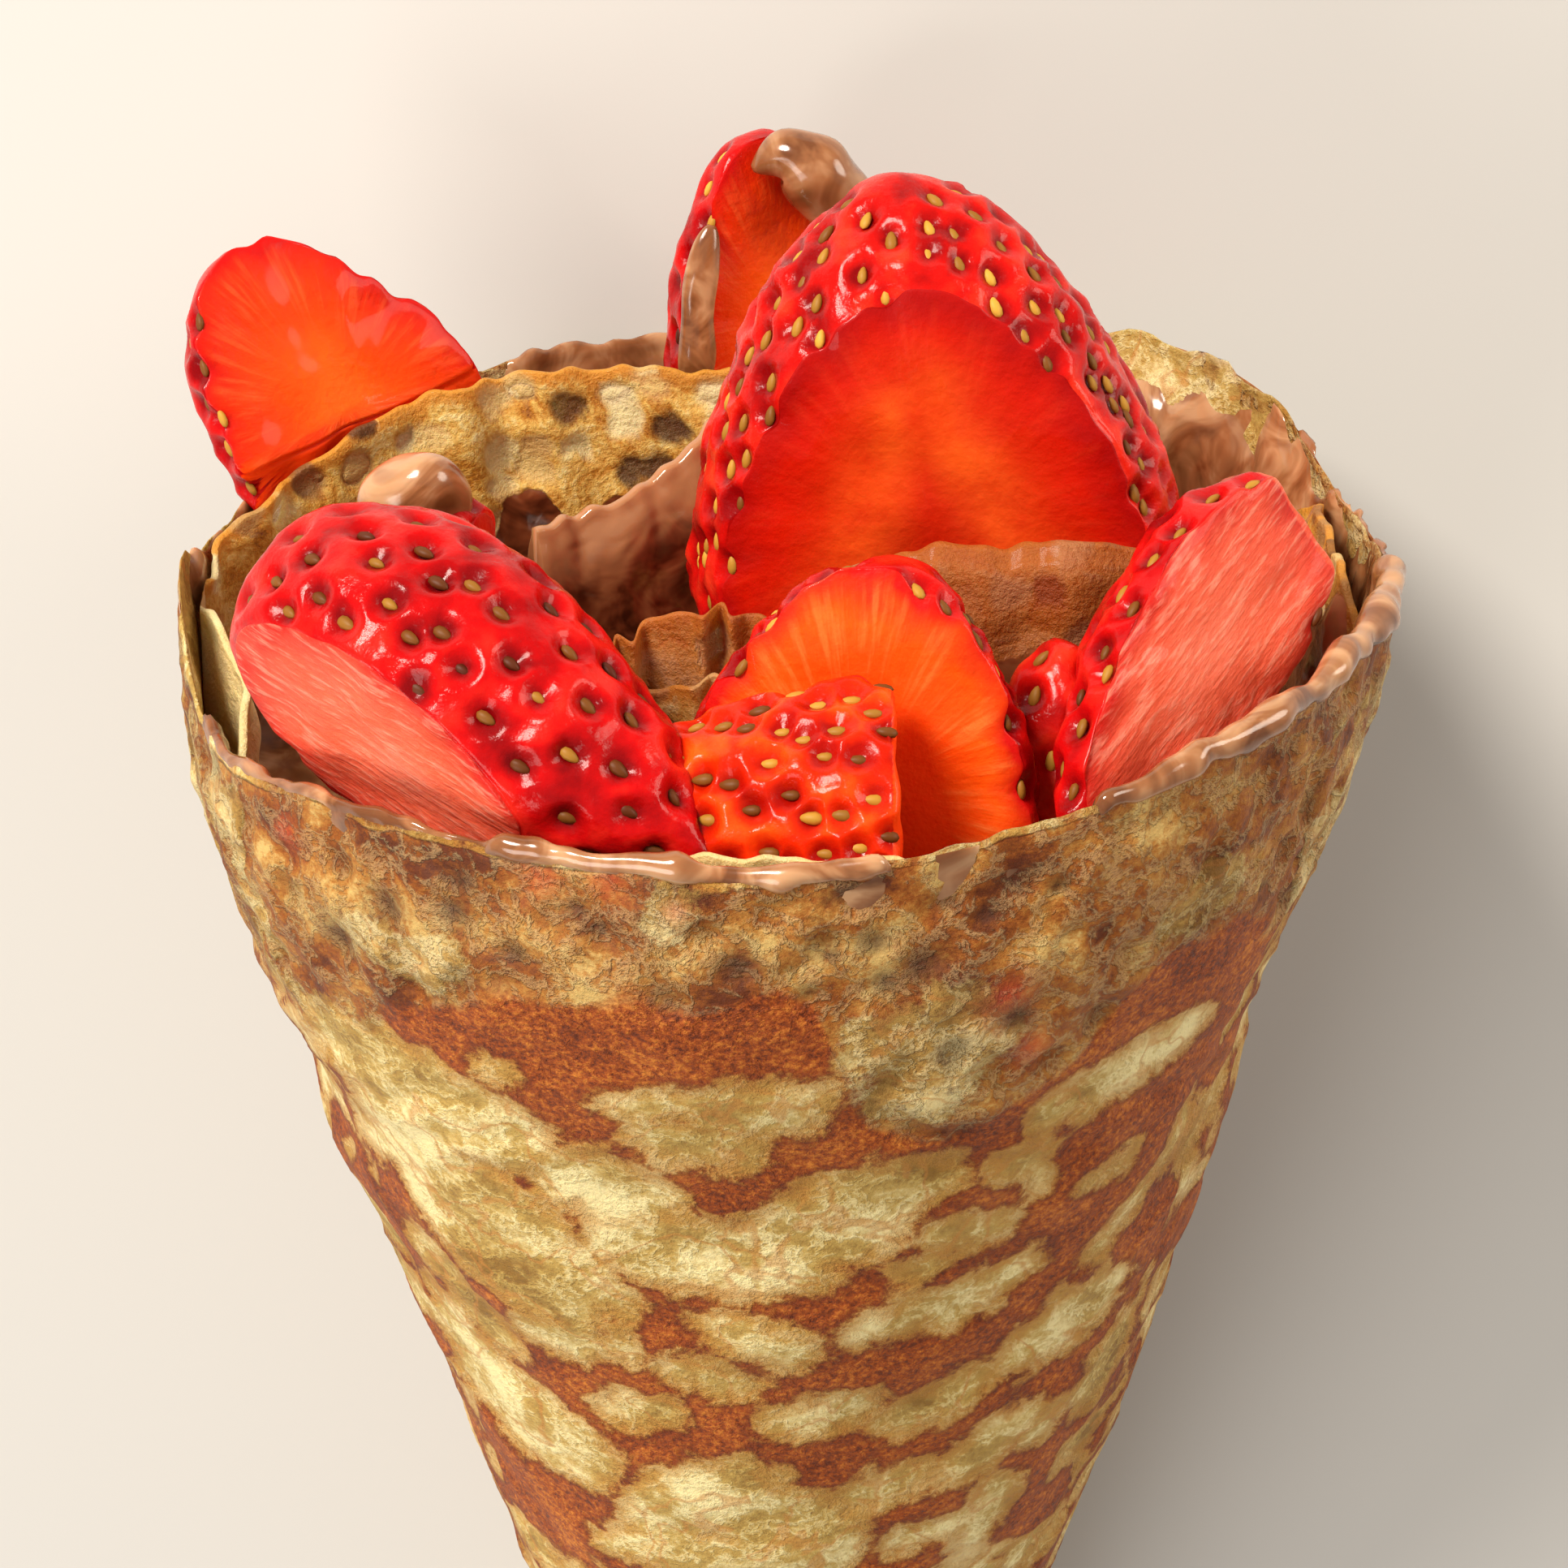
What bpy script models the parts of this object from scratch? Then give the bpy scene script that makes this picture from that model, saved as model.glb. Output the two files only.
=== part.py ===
# Crepe cone: a rolled crepe lying on its back, filled with chocolate spread and strawberries.
#
# The model is built upright in the cone's own frame: x to the right, y to the back and z up the
# axis from the sharp tip. The parent empty then lays the cone down on its back, with the shown
# side up. Lengths are in millimetres until they reach a mesh, which is in metres.

import bpy
import bmesh
from math import atan, atan2, cos, degrees, pi, radians, sin, sqrt
from mathutils import Matrix, Vector

MM = 0.001

# Driving dimensions of the rolled crepe
TAPER = 0.285              # radius gained for each millimetre along the axis
RING_HEIGHT = 155.0        # height of the reference ring over the sharp tip, about 18 under the rim
NOSE_HEIGHT = 5.4          # where the rounded tip ends
WALL = 1.8                 # one layer of crepe at the mouth
BACK_WALL = 3.1            # the rolled layers under the cone, where it rests
CUP_DEPTH = 9.0            # floor of the cup below the reference ring
SEAM_STEP = 1.2            # the free edge of the outer layer
SEAM_ANGLE = 84.0          # 0 faces the viewer, 90 is the right side
FLAT_DEPTH = 1.2           # how far the back is pressed flat
COLUMNS = 60
LOWER_ROWS = 8
BAND_ROWS = 7

# Gaps and the spread
GAP = 0.3                  # between touching pieces
SPREAD_LEVEL = 3.0         # top of the spread over the reference ring
SPREAD_SHOULDER = -2.0     # where its side bends toward the floor of the cup
FOLD_THICKNESS = 1.6

# Rim height over the reference ring, by angle
RIM = [(-180, 19.0), (-160, 19.5), (-140, 19.0), (-120, 18.0), (-100, 17.5), (-84, 21.0), (-66, 14.2),
       (-45, 16.5), (-15, 18.0), (0, 17.8), (15, 19.6), (45, 22.4), (75, 22.5), (105, 20.0),
       (122, 23.2), (140, 23.6), (155, 21.0)]

# Bulge of the mouth over the straight cone, by height over the reference ring
LEFT_BULGE = [(-60, 0.0), (-36, 0.6), (-26, 1.5), (-19, 0.6), (-16, 1.0), (-11, 2.0), (-2, 1.8), (6, 1.7),
              (14, -0.5), (22, -2.8)]
RIGHT_BULGE = [(-60, 0.6), (-36, 0.0), (-26, -0.6), (-19, -1.2), (-16, -1.6), (-11, -1.6), (-2, -1.4),
               (6, -1.3), (14, -1.6), (22, -2.9)]
FRONT_BULGE = [(-60, 0.2), (-36, 0.2), (-26, 0.3), (-13, 0.5), (-2, 1.0), (6, 0.8), (14, -0.6), (22, -2.0)]


def spot(right, front, up):
    """A point by its distance to the right, toward the viewer and over the reference ring."""
    return Vector((right, -front, RING_HEIGHT + up))


def along(right, front, up):
    """A direction in the same three terms."""
    return Vector((right, -front, up)).normalized()


def curve_value(points, x, period=None):
    """Smooth value at x of a curve through the points, cubic between neighbours."""
    if period:
        low = points[0][0]
        x = low + (x - low) % period
        extended = [(points[-1][0] - period, points[-1][1])] + list(points)
        extended += [(points[0][0] + period, points[0][1]), (points[1][0] + period, points[1][1])]
    else:
        x = min(max(x, points[0][0]), points[-1][0])
        extended = [points[0]] + list(points) + [points[-1]]
    for index in range(1, len(extended) - 2):
        if x <= extended[index + 1][0]:
            break
    before, start, end, after = extended[index - 1:index + 3]
    span = end[0] - start[0]
    t = (x - start[0]) / span
    slope_start = (end[1] - before[1]) / max(end[0] - before[0], 1e-6)
    slope_end = (after[1] - start[1]) / max(after[0] - start[0], 1e-6)
    a = slope_start * span
    b = slope_end * span
    rise = end[1] - start[1]
    return start[1] + t * (a + t * (3 * rise - 2 * a - b + t * (a + b - 2 * rise)))


def smooth_path(points, count):
    """Evenly numbered points along a smooth curve through points of any dimension."""
    size = len(points[0])
    tracks = [[(index, point[axis]) for index, point in enumerate(points)] for axis in range(size)]
    last = len(points) - 1
    return [[curve_value(track, last * step / (count - 1)) for track in tracks] for step in range(count)]


def rim_height(angle):
    return curve_value(RIM, angle, 360.0)


def waist_height(angle):
    """Height of the waist, lower at the sides than at the front."""
    return -12.0 - 4.5 * sin(radians(angle)) ** 2


def sheet_radius(angle, up):
    """Radius of the straight cone with the bulge of each side."""
    height = RING_HEIGHT + up
    side = sin(radians(angle))
    front = max(cos(radians(angle)), 0.0) ** 2
    left = max(-side, 0.0) ** 2
    right = max(side, 0.0) ** 2
    bulge = front * curve_value(FRONT_BULGE, up) + left * curve_value(LEFT_BULGE, up)
    bulge += right * curve_value(RIGHT_BULGE, up)
    return TAPER * height + bulge


def wrap_radius(angle, up):
    """Outer radius, with the step of the rolled layers."""
    turn = ((SEAM_ANGLE - angle) % 360.0) / 360.0
    layer = SEAM_STEP * (0.25 - turn) * min(1.0, (RING_HEIGHT + up) / 60.0)
    if cos(radians(angle)) < 0:
        layer *= 1.0 - cos(radians(angle)) ** 4
    return sheet_radius(angle, up) + layer


def wall_thickness(angle):
    back = max(-cos(radians(angle)), 0.0) ** 3
    return WALL + (BACK_WALL - WALL) * back


def column_angles():
    """Even angles, with two close columns at the free edge of the outer layer."""
    angles = [360.0 * index / COLUMNS - 180.0 for index in range(COLUMNS)]
    angles = [angle for angle in angles if abs(angle - SEAM_ANGLE) > 2.0]
    angles += [SEAM_ANGLE - 0.7, SEAM_ANGLE + 0.7]
    return sorted(angles)


def wrap_column(angle, grow):
    """Radius and height of each point of one column, from the tip up, over the rim and into the cup."""
    rim = rim_height(angle)
    waist = waist_height(angle)
    wall = wall_thickness(angle)
    points = [(1.7 + grow, NOSE_HEIGHT + 1.0 - grow), (2.9 + grow, NOSE_HEIGHT + 3.6)]
    for row in range(LOWER_ROWS + 1):
        height = 12.0 + (RING_HEIGHT + waist - 1.2 - 12.0) * (row / LOWER_ROWS) ** 0.8
        points.append((wrap_radius(angle, height - RING_HEIGHT) + grow, height))
    for row in range(BAND_ROWS):
        up = waist + (rim - 0.5 - waist) * row / (BAND_ROWS - 1)
        points.append((wrap_radius(angle, up) + grow, RING_HEIGHT + up))
    mouth = wrap_radius(angle, rim)
    points.append((mouth - 0.5 * WALL, RING_HEIGHT + rim + grow))
    for up in (rim - 0.6, 10.0, SPREAD_LEVEL, SPREAD_SHOULDER, 2.0 - CUP_DEPTH):
        points.append((sheet_radius(angle, up) - wall - grow, RING_HEIGHT + up))
    foot = points[-1][0]
    points.append((foot - 2.0, RING_HEIGHT - CUP_DEPTH + grow))
    return points


def object_from_bmesh(name, mesh_data, collection):
    mesh = bpy.data.meshes.new(name)
    bmesh.ops.recalc_face_normals(mesh_data, faces=mesh_data.faces[:])
    mesh_data.to_mesh(mesh)
    mesh_data.free()
    item = bpy.data.objects.new(name, mesh)
    collection.objects.link(item)
    item.parent = cone_frame
    return item


def make_wrap(name, collection, grow=0.0):
    """The rolled crepe as a loft of its columns, closed at the tip and at the floor of the cup."""
    angles = column_angles()
    bm = bmesh.new()
    tip = bm.verts.new(Vector((0, 0, NOSE_HEIGHT - grow)) * MM)
    floor = bm.verts.new(Vector((0, 0, RING_HEIGHT - CUP_DEPTH + grow)) * MM)
    columns = []
    for angle in angles:
        side, ahead = sin(radians(angle)), cos(radians(angle))
        column = [bm.verts.new(Vector((radius * side, -radius * ahead, height)) * MM)
                  for radius, height in wrap_column(angle, grow)]
        columns.append(column)
    for index, column in enumerate(columns):
        following = columns[(index + 1) % len(columns)]
        bm.faces.new((tip, following[0], column[0]))
        bm.faces.new((floor, column[-1], following[-1]))
        for row in range(len(column) - 1):
            bm.faces.new((column[row], following[row], following[row + 1], column[row + 1]))
    return object_from_bmesh(name, bm, collection)


def make_fold(name, points, bottom, thickness, ruffle=0.0, columns=14, grow=0.0):
    """A standing sheet of crepe: a grid along the path, up to the edge given at each point.
    It leans in toward the tip as the cone does."""
    rows = 3
    path = smooth_path(points, columns + 1)
    for end, inner in ((path[0], path[1]), (path[-1], path[-2])):
        away = Vector((end[0] - inner[0], end[1] - inner[1])).normalized() * grow
        end[0] += away.x
        end[1] += away.y
    bm = bmesh.new()
    bmesh.ops.create_grid(bm, x_segments=columns, y_segments=rows, size=1.0)
    for vert in bm.verts:
        along_path = (vert.co.x + 1.0) / 2.0 * columns
        share = (vert.co.y + 1.0) / 2.0
        right, front, edge = path[min(round(along_path), columns)]
        angle = degrees(atan2(right, front))
        up = bottom + (edge + grow - bottom) * share
        lean = sheet_radius(angle, up) / sheet_radius(angle, edge)
        wave = ruffle * share * sin(2.4 * along_path)
        vert.co = spot(right * lean, (front + wave) * lean, up) * MM
    fold = object_from_bmesh(name, bm, guides)
    shell = fold.modifiers.new("thickness", 'SOLIDIFY')
    shell.thickness = (thickness + 2 * grow) * MM
    shell.offset = 0.0
    shell.use_even_offset = True
    return fold


def berry_radius(share, blunt):
    """Half width of a berry of width 2, from the stem (0) to the other end (1), fuller where blunt is low."""
    return max(sin(pi * share ** 0.7), 0.0) ** (blunt + (0.6 - blunt) * (1.0 - share))


def make_berry(name, collection, shape, grow=0.0):
    """A strawberry turned about its axis, then cut by the planes of its slices."""
    stem, end = shape["stem"], shape["end"]
    direction = (end - stem).normalized()
    length = (end - stem).length
    face = shape["face"]
    face = (face - direction * face.dot(direction)).normalized()
    across = direction.cross(face)
    middle = (stem + end) / 2
    bm = bmesh.new()
    bmesh.ops.create_uvsphere(bm, u_segments=shape.get("around", 20), v_segments=13, radius=1.0)
    for vert in bm.verts:
        share = atan2(sqrt(vert.co.x ** 2 + vert.co.y ** 2), vert.co.z) / pi
        turn = atan2(vert.co.y, vert.co.x)
        radius = berry_radius(min(max(share, 0.0), 1.0), shape.get("blunt", 0.7)) * (shape["width"] / 2 + grow)
        if share < 1e-4 or share > 1.0 - 1e-4:
            radius = 0.0
        lengthwise = (share - 0.5) * (length + 2 * grow)
        depth = shape.get("depth", 1.0)
        vert.co = (middle + direction * lengthwise + across * radius * sin(turn)
                   + face * radius * depth * cos(turn)) * MM
    for normal, offset in [(face, shape["cut"])] + shape.get("more", []):
        plane = (middle + normal * (offset + grow)) * MM
        whole = bm.verts[:] + bm.edges[:] + bm.faces[:]
        cut = bmesh.ops.bisect_plane(bm, geom=whole, plane_co=plane, plane_no=normal, clear_outer=True)
        edges = [item for item in cut["geom_cut"] if isinstance(item, bmesh.types.BMEdge)]
        if edges:
            bmesh.ops.contextual_create(bm, geom=edges)
    bmesh.ops.remove_doubles(bm, verts=bm.verts[:], dist=0.00002)
    return object_from_bmesh(name, bm, collection)


def make_blob(name, centre, radii, direction):
    """A round drop of chocolate, longest along the direction."""
    bm = bmesh.new()
    bmesh.ops.create_uvsphere(bm, u_segments=14, v_segments=9, radius=1.0)
    turn = direction.to_track_quat('Z', 'Y').to_matrix().to_4x4()
    size = Matrix.Diagonal((radii[0] * MM, radii[1] * MM, radii[2] * MM, 1.0))
    bmesh.ops.transform(bm, matrix=Matrix.Translation(centre * MM) @ turn @ size, verts=bm.verts[:])
    return object_from_bmesh(name, bm, guides)


def make_spread():
    """The pool of spread: a disc with a gently uneven top, as deep as the cup."""
    rings, sides = 6, 40
    bm = bmesh.new()
    levels = []
    low, high = -CUP_DEPTH + GAP, SPREAD_LEVEL
    for index in range(sides):
        angle = 360.0 * index / sides - 180.0
        side, ahead = sin(radians(angle)), cos(radians(angle))
        ring = []
        wall = wall_thickness(angle) + GAP + 0.15
        foot = sheet_radius(angle, 2.0 - CUP_DEPTH) - wall
        ring.append((foot - 2.4, low))
        ring.append((foot - 0.2, low + 2.3))
        ring.append((sheet_radius(angle, SPREAD_SHOULDER) - wall, SPREAD_SHOULDER))
        for step in range(rings, 0, -1):
            radius = (sheet_radius(angle, high) - wall) * step / rings
            right, front = radius * side, radius * ahead
            level = 0.7 * sin(0.21 * right + 1.0) * cos(0.17 * front) + 0.5 * sin(0.33 * front)
            level = high + level * (1.0 - step / rings)
            ring.append((radius, level))
        levels.append([bm.verts.new(spot(radius * side, radius * ahead, up) * MM) for radius, up in ring])
    bottom = bm.verts.new(spot(0, 0, low) * MM)
    top = bm.verts.new(spot(0, 0, high + 0.6) * MM)
    for index, column in enumerate(levels):
        following = levels[(index + 1) % sides]
        bm.faces.new((bottom, following[0], column[0]))
        bm.faces.new((top, column[-1], following[-1]))
        for row in range(len(column) - 1):
            bm.faces.new((column[row], following[row], following[row + 1], column[row + 1]))
    return object_from_bmesh("chocolate_spread", bm, parts)


def combine(target, other, operation):
    """A Boolean modifier on the target, with the other object kept as its guide."""
    step = target.modifiers.new(other.name, 'BOOLEAN')
    step.operation = operation
    step.solver = 'EXACT'
    step.object = other


def principled(name, colour, roughness, subsurface=0.0):
    material = bpy.data.materials.new(name)
    material.use_nodes = True
    shader = material.node_tree.nodes["Principled BSDF"]
    shader.inputs["Base Color"].default_value = (*colour, 1.0)
    shader.inputs["Roughness"].default_value = roughness
    shader.inputs["Metallic"].default_value = 0.0
    shader.inputs["Subsurface Weight"].default_value = subsurface
    material.diffuse_color = (*colour, 1.0)
    return material


def evaluated_points(item, graph):
    shown = item.evaluated_get(graph)
    mesh = shown.to_mesh()
    points = [shown.matrix_world @ vert.co for vert in mesh.vertices]
    shown.to_mesh_clear()
    return points


def centre_on_floor(frame, items):
    """Moves the frame so that the lowest point is at zero and the box is centred on the origin."""
    bpy.context.view_layer.update()
    graph = bpy.context.evaluated_depsgraph_get()
    points = [point for item in items for point in evaluated_points(item, graph)]
    for axis in range(3):
        low = min(point[axis] for point in points)
        high = max(point[axis] for point in points)
        frame.location[axis] -= low if axis == 2 else (low + high) / 2


# Start from an empty scene
for item in list(bpy.data.objects):
    bpy.data.objects.remove(item, do_unlink=True)

parts = bpy.data.collections.new("crepe_cone")
guides = bpy.data.collections.new("guides")
bpy.context.scene.collection.children.link(parts)
bpy.context.scene.collection.children.link(guides)

# The frame lays the cone down on its back line
cone_frame = bpy.data.objects.new("cone_frame", None)
parts.objects.link(cone_frame)
cone_frame.rotation_euler = (-(pi / 2 - atan(TAPER)), 0.0, 0.0)

# Strawberry pieces, each by its stem and pointed ends, its width and the plane of its cut face
BERRIES = {
    "strawberry_centre": {
        "stem": spot(14.4, -4.0, -1.5), "end": spot(8.6, -8.0, 48.6), "width": 39.2, "depth": 0.88, "blunt": 0.52,
        "face": along(0.0, 1.0, 0.0), "cut": 9.0, "around": 24},
    "strawberry_front_left": {
        "stem": spot(-38.1, 17.0, 26.5), "end": spot(-5.4, 40.0, 15.2), "width": 22.6,
        "face": along(-0.60, 0.73, -0.27), "cut": 7.6},
    "strawberry_back_left": {
        "stem": spot(-27.0, -21.0, 12.0), "end": spot(-46.3, -22.0, 35.8), "width": 23.0, "depth": 0.85, "blunt": 0.42,
        "face": along(0.56, 0.77, 0.30), "cut": 1.0},
    "strawberry_back": {
        "stem": spot(0.6, -35.0, 9.0), "end": spot(-2.0, -37.6, 41.6), "width": 19.5, "blunt": 0.4,
        "face": along(0.55, 0.83, 0.0), "cut": 1.2},
    "strawberry_front_right": {
        "stem": spot(39.6, 8.6, 29.2), "end": spot(20.0, 33.0, 14.0), "width": 15.8,
        "face": along(0.62, 0.72, 0.30), "cut": 1.8},
    "strawberry_slice": {
        "stem": spot(3.2, 29.0, -3.0), "end": spot(7.8, 22.2, 30.2), "width": 27.8, "blunt": 0.45,
        "face": along(-0.10, 0.97, 0.22), "cut": 2.7, "around": 24},
    "strawberry_front": {
        "stem": spot(20.0, 31.0, 11.0), "end": spot(-14.8, 31.5, 14.6), "width": 24.0, "blunt": 0.5,
        "face": along(0.0, -0.97, -0.2), "cut": -0.5},
    "strawberry_gap": {
        "stem": spot(20.8, 20.5, -1.5), "end": spot(20.4, 19.5, 22.3), "width": 13.0, "blunt": 0.5,
        "face": along(0.3, 1.0, 0.0), "cut": 8.0, "around": 16},
    "strawberry_capped": {
        "stem": spot(-26.0, 3.5, 4.0), "end": spot(-26.3, 1.5, 27.5), "width": 13.0, "blunt": 0.5,
        "face": along(0.92, 0.35, 0.1), "cut": 3.2, "around": 16},
}

# The thin slice has a second face behind, the front piece is cut off short on the right, the one at
# the back left is cut flat where it lies on the inner layer, and the one at the front right has
# lost its stem end
BERRIES["strawberry_slice"]["more"] = [(-along(-0.10, 0.97, 0.22), 2.7)]
BERRIES["strawberry_front"]["more"] = [(along(1.0, 0.0, 0.0), 5.4)]
BERRIES["strawberry_back_left"]["more"] = [(along(0.59, 0.81, 0.0), 1.8)]
BERRIES["strawberry_front_right"]["more"] = [(along(0.565, -0.70, 0.44), 14.6)]

berry_skin = principled("strawberry skin", (0.68, 0.02, 0.015), 0.25, 0.2)
berries = {}
berry_gaps = {}
for name, shape in BERRIES.items():
    berries[name] = make_berry(name, parts, shape)
    berry_gaps[name] = make_berry(name + "_gap", guides, shape, GAP)
    berries[name].data.materials.append(berry_skin)

# Each piece gives way to the crepe's wall and to the pieces before it in the list
wall_gap = make_wrap("wall_gap", guides, GAP)
NEIGHBOURS = [
    ("strawberry_slice", "strawberry_front"), ("strawberry_slice", "strawberry_gap"),
    ("strawberry_front_left", "strawberry_front"), ("strawberry_front_right", "strawberry_gap"),
    ("strawberry_front_left", "strawberry_capped"), ("strawberry_front_right", "strawberry_slice"),
]
for before, after in NEIGHBOURS:
    combine(berries[after], berry_gaps[before], 'DIFFERENCE')
for name in ("strawberry_front_left", "strawberry_back_left", "strawberry_back", "strawberry_front_right",
             "strawberry_front"):
    combine(berries[name], wall_gap, 'DIFFERENCE')

# Folds of the inner layers: right, front and edge height at each point
FOLDS = {
    "inner_layer": {
        "points": [(-46.7, 2.0, 16.5), (-45.2, -5.0, 17.9), (-41.1, -13.0, 19.9), (-37.4, -17.0, 21.4),
                   (-32.4, -21.0, 23.2), (-24.6, -25.0, 24.5), (-13.9, -27.5, 24.5), (-4.1, -28.0, 23.9),
                   (8.0, -27.0, 22.5)],
        "bottom": -CUP_DEPTH - 1.0, "columns": 22},
    "coated_fold": {
        "points": [(-19.8, -3.6, 20.6), (-17.1, -5.0, 21.0), (-13.3, -7.0, 21.7), (-9.4, -9.0, 23.5),
                   (-5.6, -12.0, 26.0), (-3.0, -17.5, 25.0)],
        "bottom": -CUP_DEPTH - 1.0, "thickness": 2.6, "columns": 9},
    "ruffled_edge": {
        "points": [(-18.0, 13.5, 15.4), (-15.2, 11.0, 17.5), (-12.8, 10.0, 17.7), (-7.2, 9.0, 19.3),
                   (-2.0, 9.6, 19.4), (3.6, 10.1, 20.5)],
        "bottom": -CUP_DEPTH - 1.0, "ruffle": 1.1, "columns": 15},
    "rolled_fold": {
        "points": [(0.8, 9.1, 21.5), (8.2, 9.8, 24.6), (17.4, 10.2, 25.7), (25.9, 9.6, 25.2),
                   (30.5, 7.0, 23.0)],
        "bottom": -CUP_DEPTH - 1.0, "thickness": 5.0, "columns": 9},
    "left_pleat": {
        "points": [(-46.6, -1.0, 17.0), (-45.0, 4.0, 17.2), (-42.4, 8.5, 16.2), (-41.0, 12.5, 15.2),
                   (-40.8, 17.0, 13.8), (-41.0, 21.5, 12.0)],
        "bottom": SPREAD_LEVEL + 2.2, "columns": 10},
    "right_layer": {
        "points": [(44.6, 13.0, 17.0), (43.6, 6.0, 19.3), (43.2, -2.0, 20.0), (43.0, -9.0, 19.6),
                   (42.8, -18.0, 16.5)],
        "bottom": SPREAD_LEVEL + 2.2, "columns": 8},
    "front_layer": {
        "points": [(-14.0, 44.2, 13.0), (-8.0, 43.6, 16.8), (0.0, 43.9, 17.3), (7.0, 43.4, 17.0),
                   (13.0, 42.2, 15.2), (18.6, 40.2, 16.8), (24.5, 38.3, 14.0)],
        "bottom": SPREAD_LEVEL + 2.2, "columns": 12},
}
# The berries that press into each fold
PRESSED = {
    "inner_layer": ["strawberry_back_left", "strawberry_back", "strawberry_centre"],
    "coated_fold": ["strawberry_centre", "strawberry_capped"],
    "ruffled_edge": ["strawberry_slice", "strawberry_centre"],
    "rolled_fold": ["strawberry_centre", "strawberry_gap", "strawberry_front_right"],
    "left_pleat": ["strawberry_front_left"],
    "right_layer": ["strawberry_front_right"],
    "front_layer": ["strawberry_front_left", "strawberry_front_right", "strawberry_front"],
}

crepe = make_wrap("crepe", parts)
crepe.data.materials.append(principled("browned crepe", (0.62, 0.38, 0.12), 0.6, 0.1))
spread = make_spread()
spread.data.materials.append(principled("chocolate spread", (0.18, 0.075, 0.035), 0.2, 0.05))

for name, shape in FOLDS.items():
    options = {key: shape[key] for key in ("ruffle", "columns") if key in shape}
    thickness = shape.get("thickness", FOLD_THICKNESS)
    fold = make_fold(name, shape["points"], shape["bottom"], thickness, **options)
    for berry in PRESSED[name]:
        combine(fold, berry_gaps[berry], 'DIFFERENCE')
    combine(crepe, fold, 'UNION')
    if shape["bottom"] < 0:
        gap = make_fold(name + "_gap", shape["points"], shape["bottom"], thickness, grow=GAP, **options)
        combine(spread, gap, 'DIFFERENCE')
for name in ("strawberry_centre", "strawberry_slice", "strawberry_front", "strawberry_gap"):
    combine(spread, berry_gaps[name], 'DIFFERENCE')

# Chocolate that lies thick on two of the berries
caps = {
    "strawberry_back": make_blob("back_cap", spot(0.6, -37.0, 37.4), (2.7, 4.2, 5.4), along(0.82, 0.0, -0.5)),
    "strawberry_capped": make_blob("small_cap", spot(-26.4, 1.8, 23.6), (5.6, 5.6, 3.8), along(0, 0, 1)),
}
for name, cap in caps.items():
    combine(berries[name], cap, 'UNION')

# The back is pressed flat where the cone rests: a block under the resting plane cuts it
slope = atan(TAPER)
block = bpy.data.objects.new("flat_block", bpy.data.meshes.new("flat_block"))
bm = bmesh.new()
bmesh.ops.create_cube(bm, size=1.0)
bmesh.ops.scale(bm, vec=(0.3, 0.4, 0.05), verts=bm.verts[:])
bmesh.ops.translate(bm, vec=(0.0, 0.1, FLAT_DEPTH * MM - 0.025), verts=bm.verts[:])
bm.to_mesh(block.data)
bm.free()
guides.objects.link(block)
flat = bpy.data.objects.new("flat_frame", None)
guides.objects.link(flat)
flat.parent = cone_frame
flat.rotation_euler = (pi / 2 - slope, 0.0, 0.0)
block.parent = flat
combine(crepe, block, 'DIFFERENCE')

for item in guides.objects:
    item.hide_render = True
    if item.type == 'MESH':
        item.display_type = 'WIRE'

centre_on_floor(cone_frame, [item for item in parts.objects if item.type == 'MESH'])
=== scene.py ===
import bpy
import numpy as np
from functools import partial
from math import atan, cos, pi, radians, sin
from mathutils import Matrix, Vector


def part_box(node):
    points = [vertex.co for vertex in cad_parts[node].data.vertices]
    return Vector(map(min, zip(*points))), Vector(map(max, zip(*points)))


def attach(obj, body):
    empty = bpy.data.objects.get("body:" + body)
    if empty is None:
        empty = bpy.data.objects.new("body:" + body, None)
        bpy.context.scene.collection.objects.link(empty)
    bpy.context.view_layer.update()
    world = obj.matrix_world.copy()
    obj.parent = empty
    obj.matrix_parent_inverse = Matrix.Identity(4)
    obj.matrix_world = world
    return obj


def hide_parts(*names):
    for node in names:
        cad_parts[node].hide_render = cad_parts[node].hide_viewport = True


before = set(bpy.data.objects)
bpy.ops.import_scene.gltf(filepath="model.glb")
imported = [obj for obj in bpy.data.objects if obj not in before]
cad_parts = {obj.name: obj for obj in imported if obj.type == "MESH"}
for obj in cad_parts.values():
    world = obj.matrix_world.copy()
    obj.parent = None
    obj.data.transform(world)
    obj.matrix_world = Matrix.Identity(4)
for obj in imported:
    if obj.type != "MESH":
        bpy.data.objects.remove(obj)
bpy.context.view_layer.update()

mm = 0.001

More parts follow.
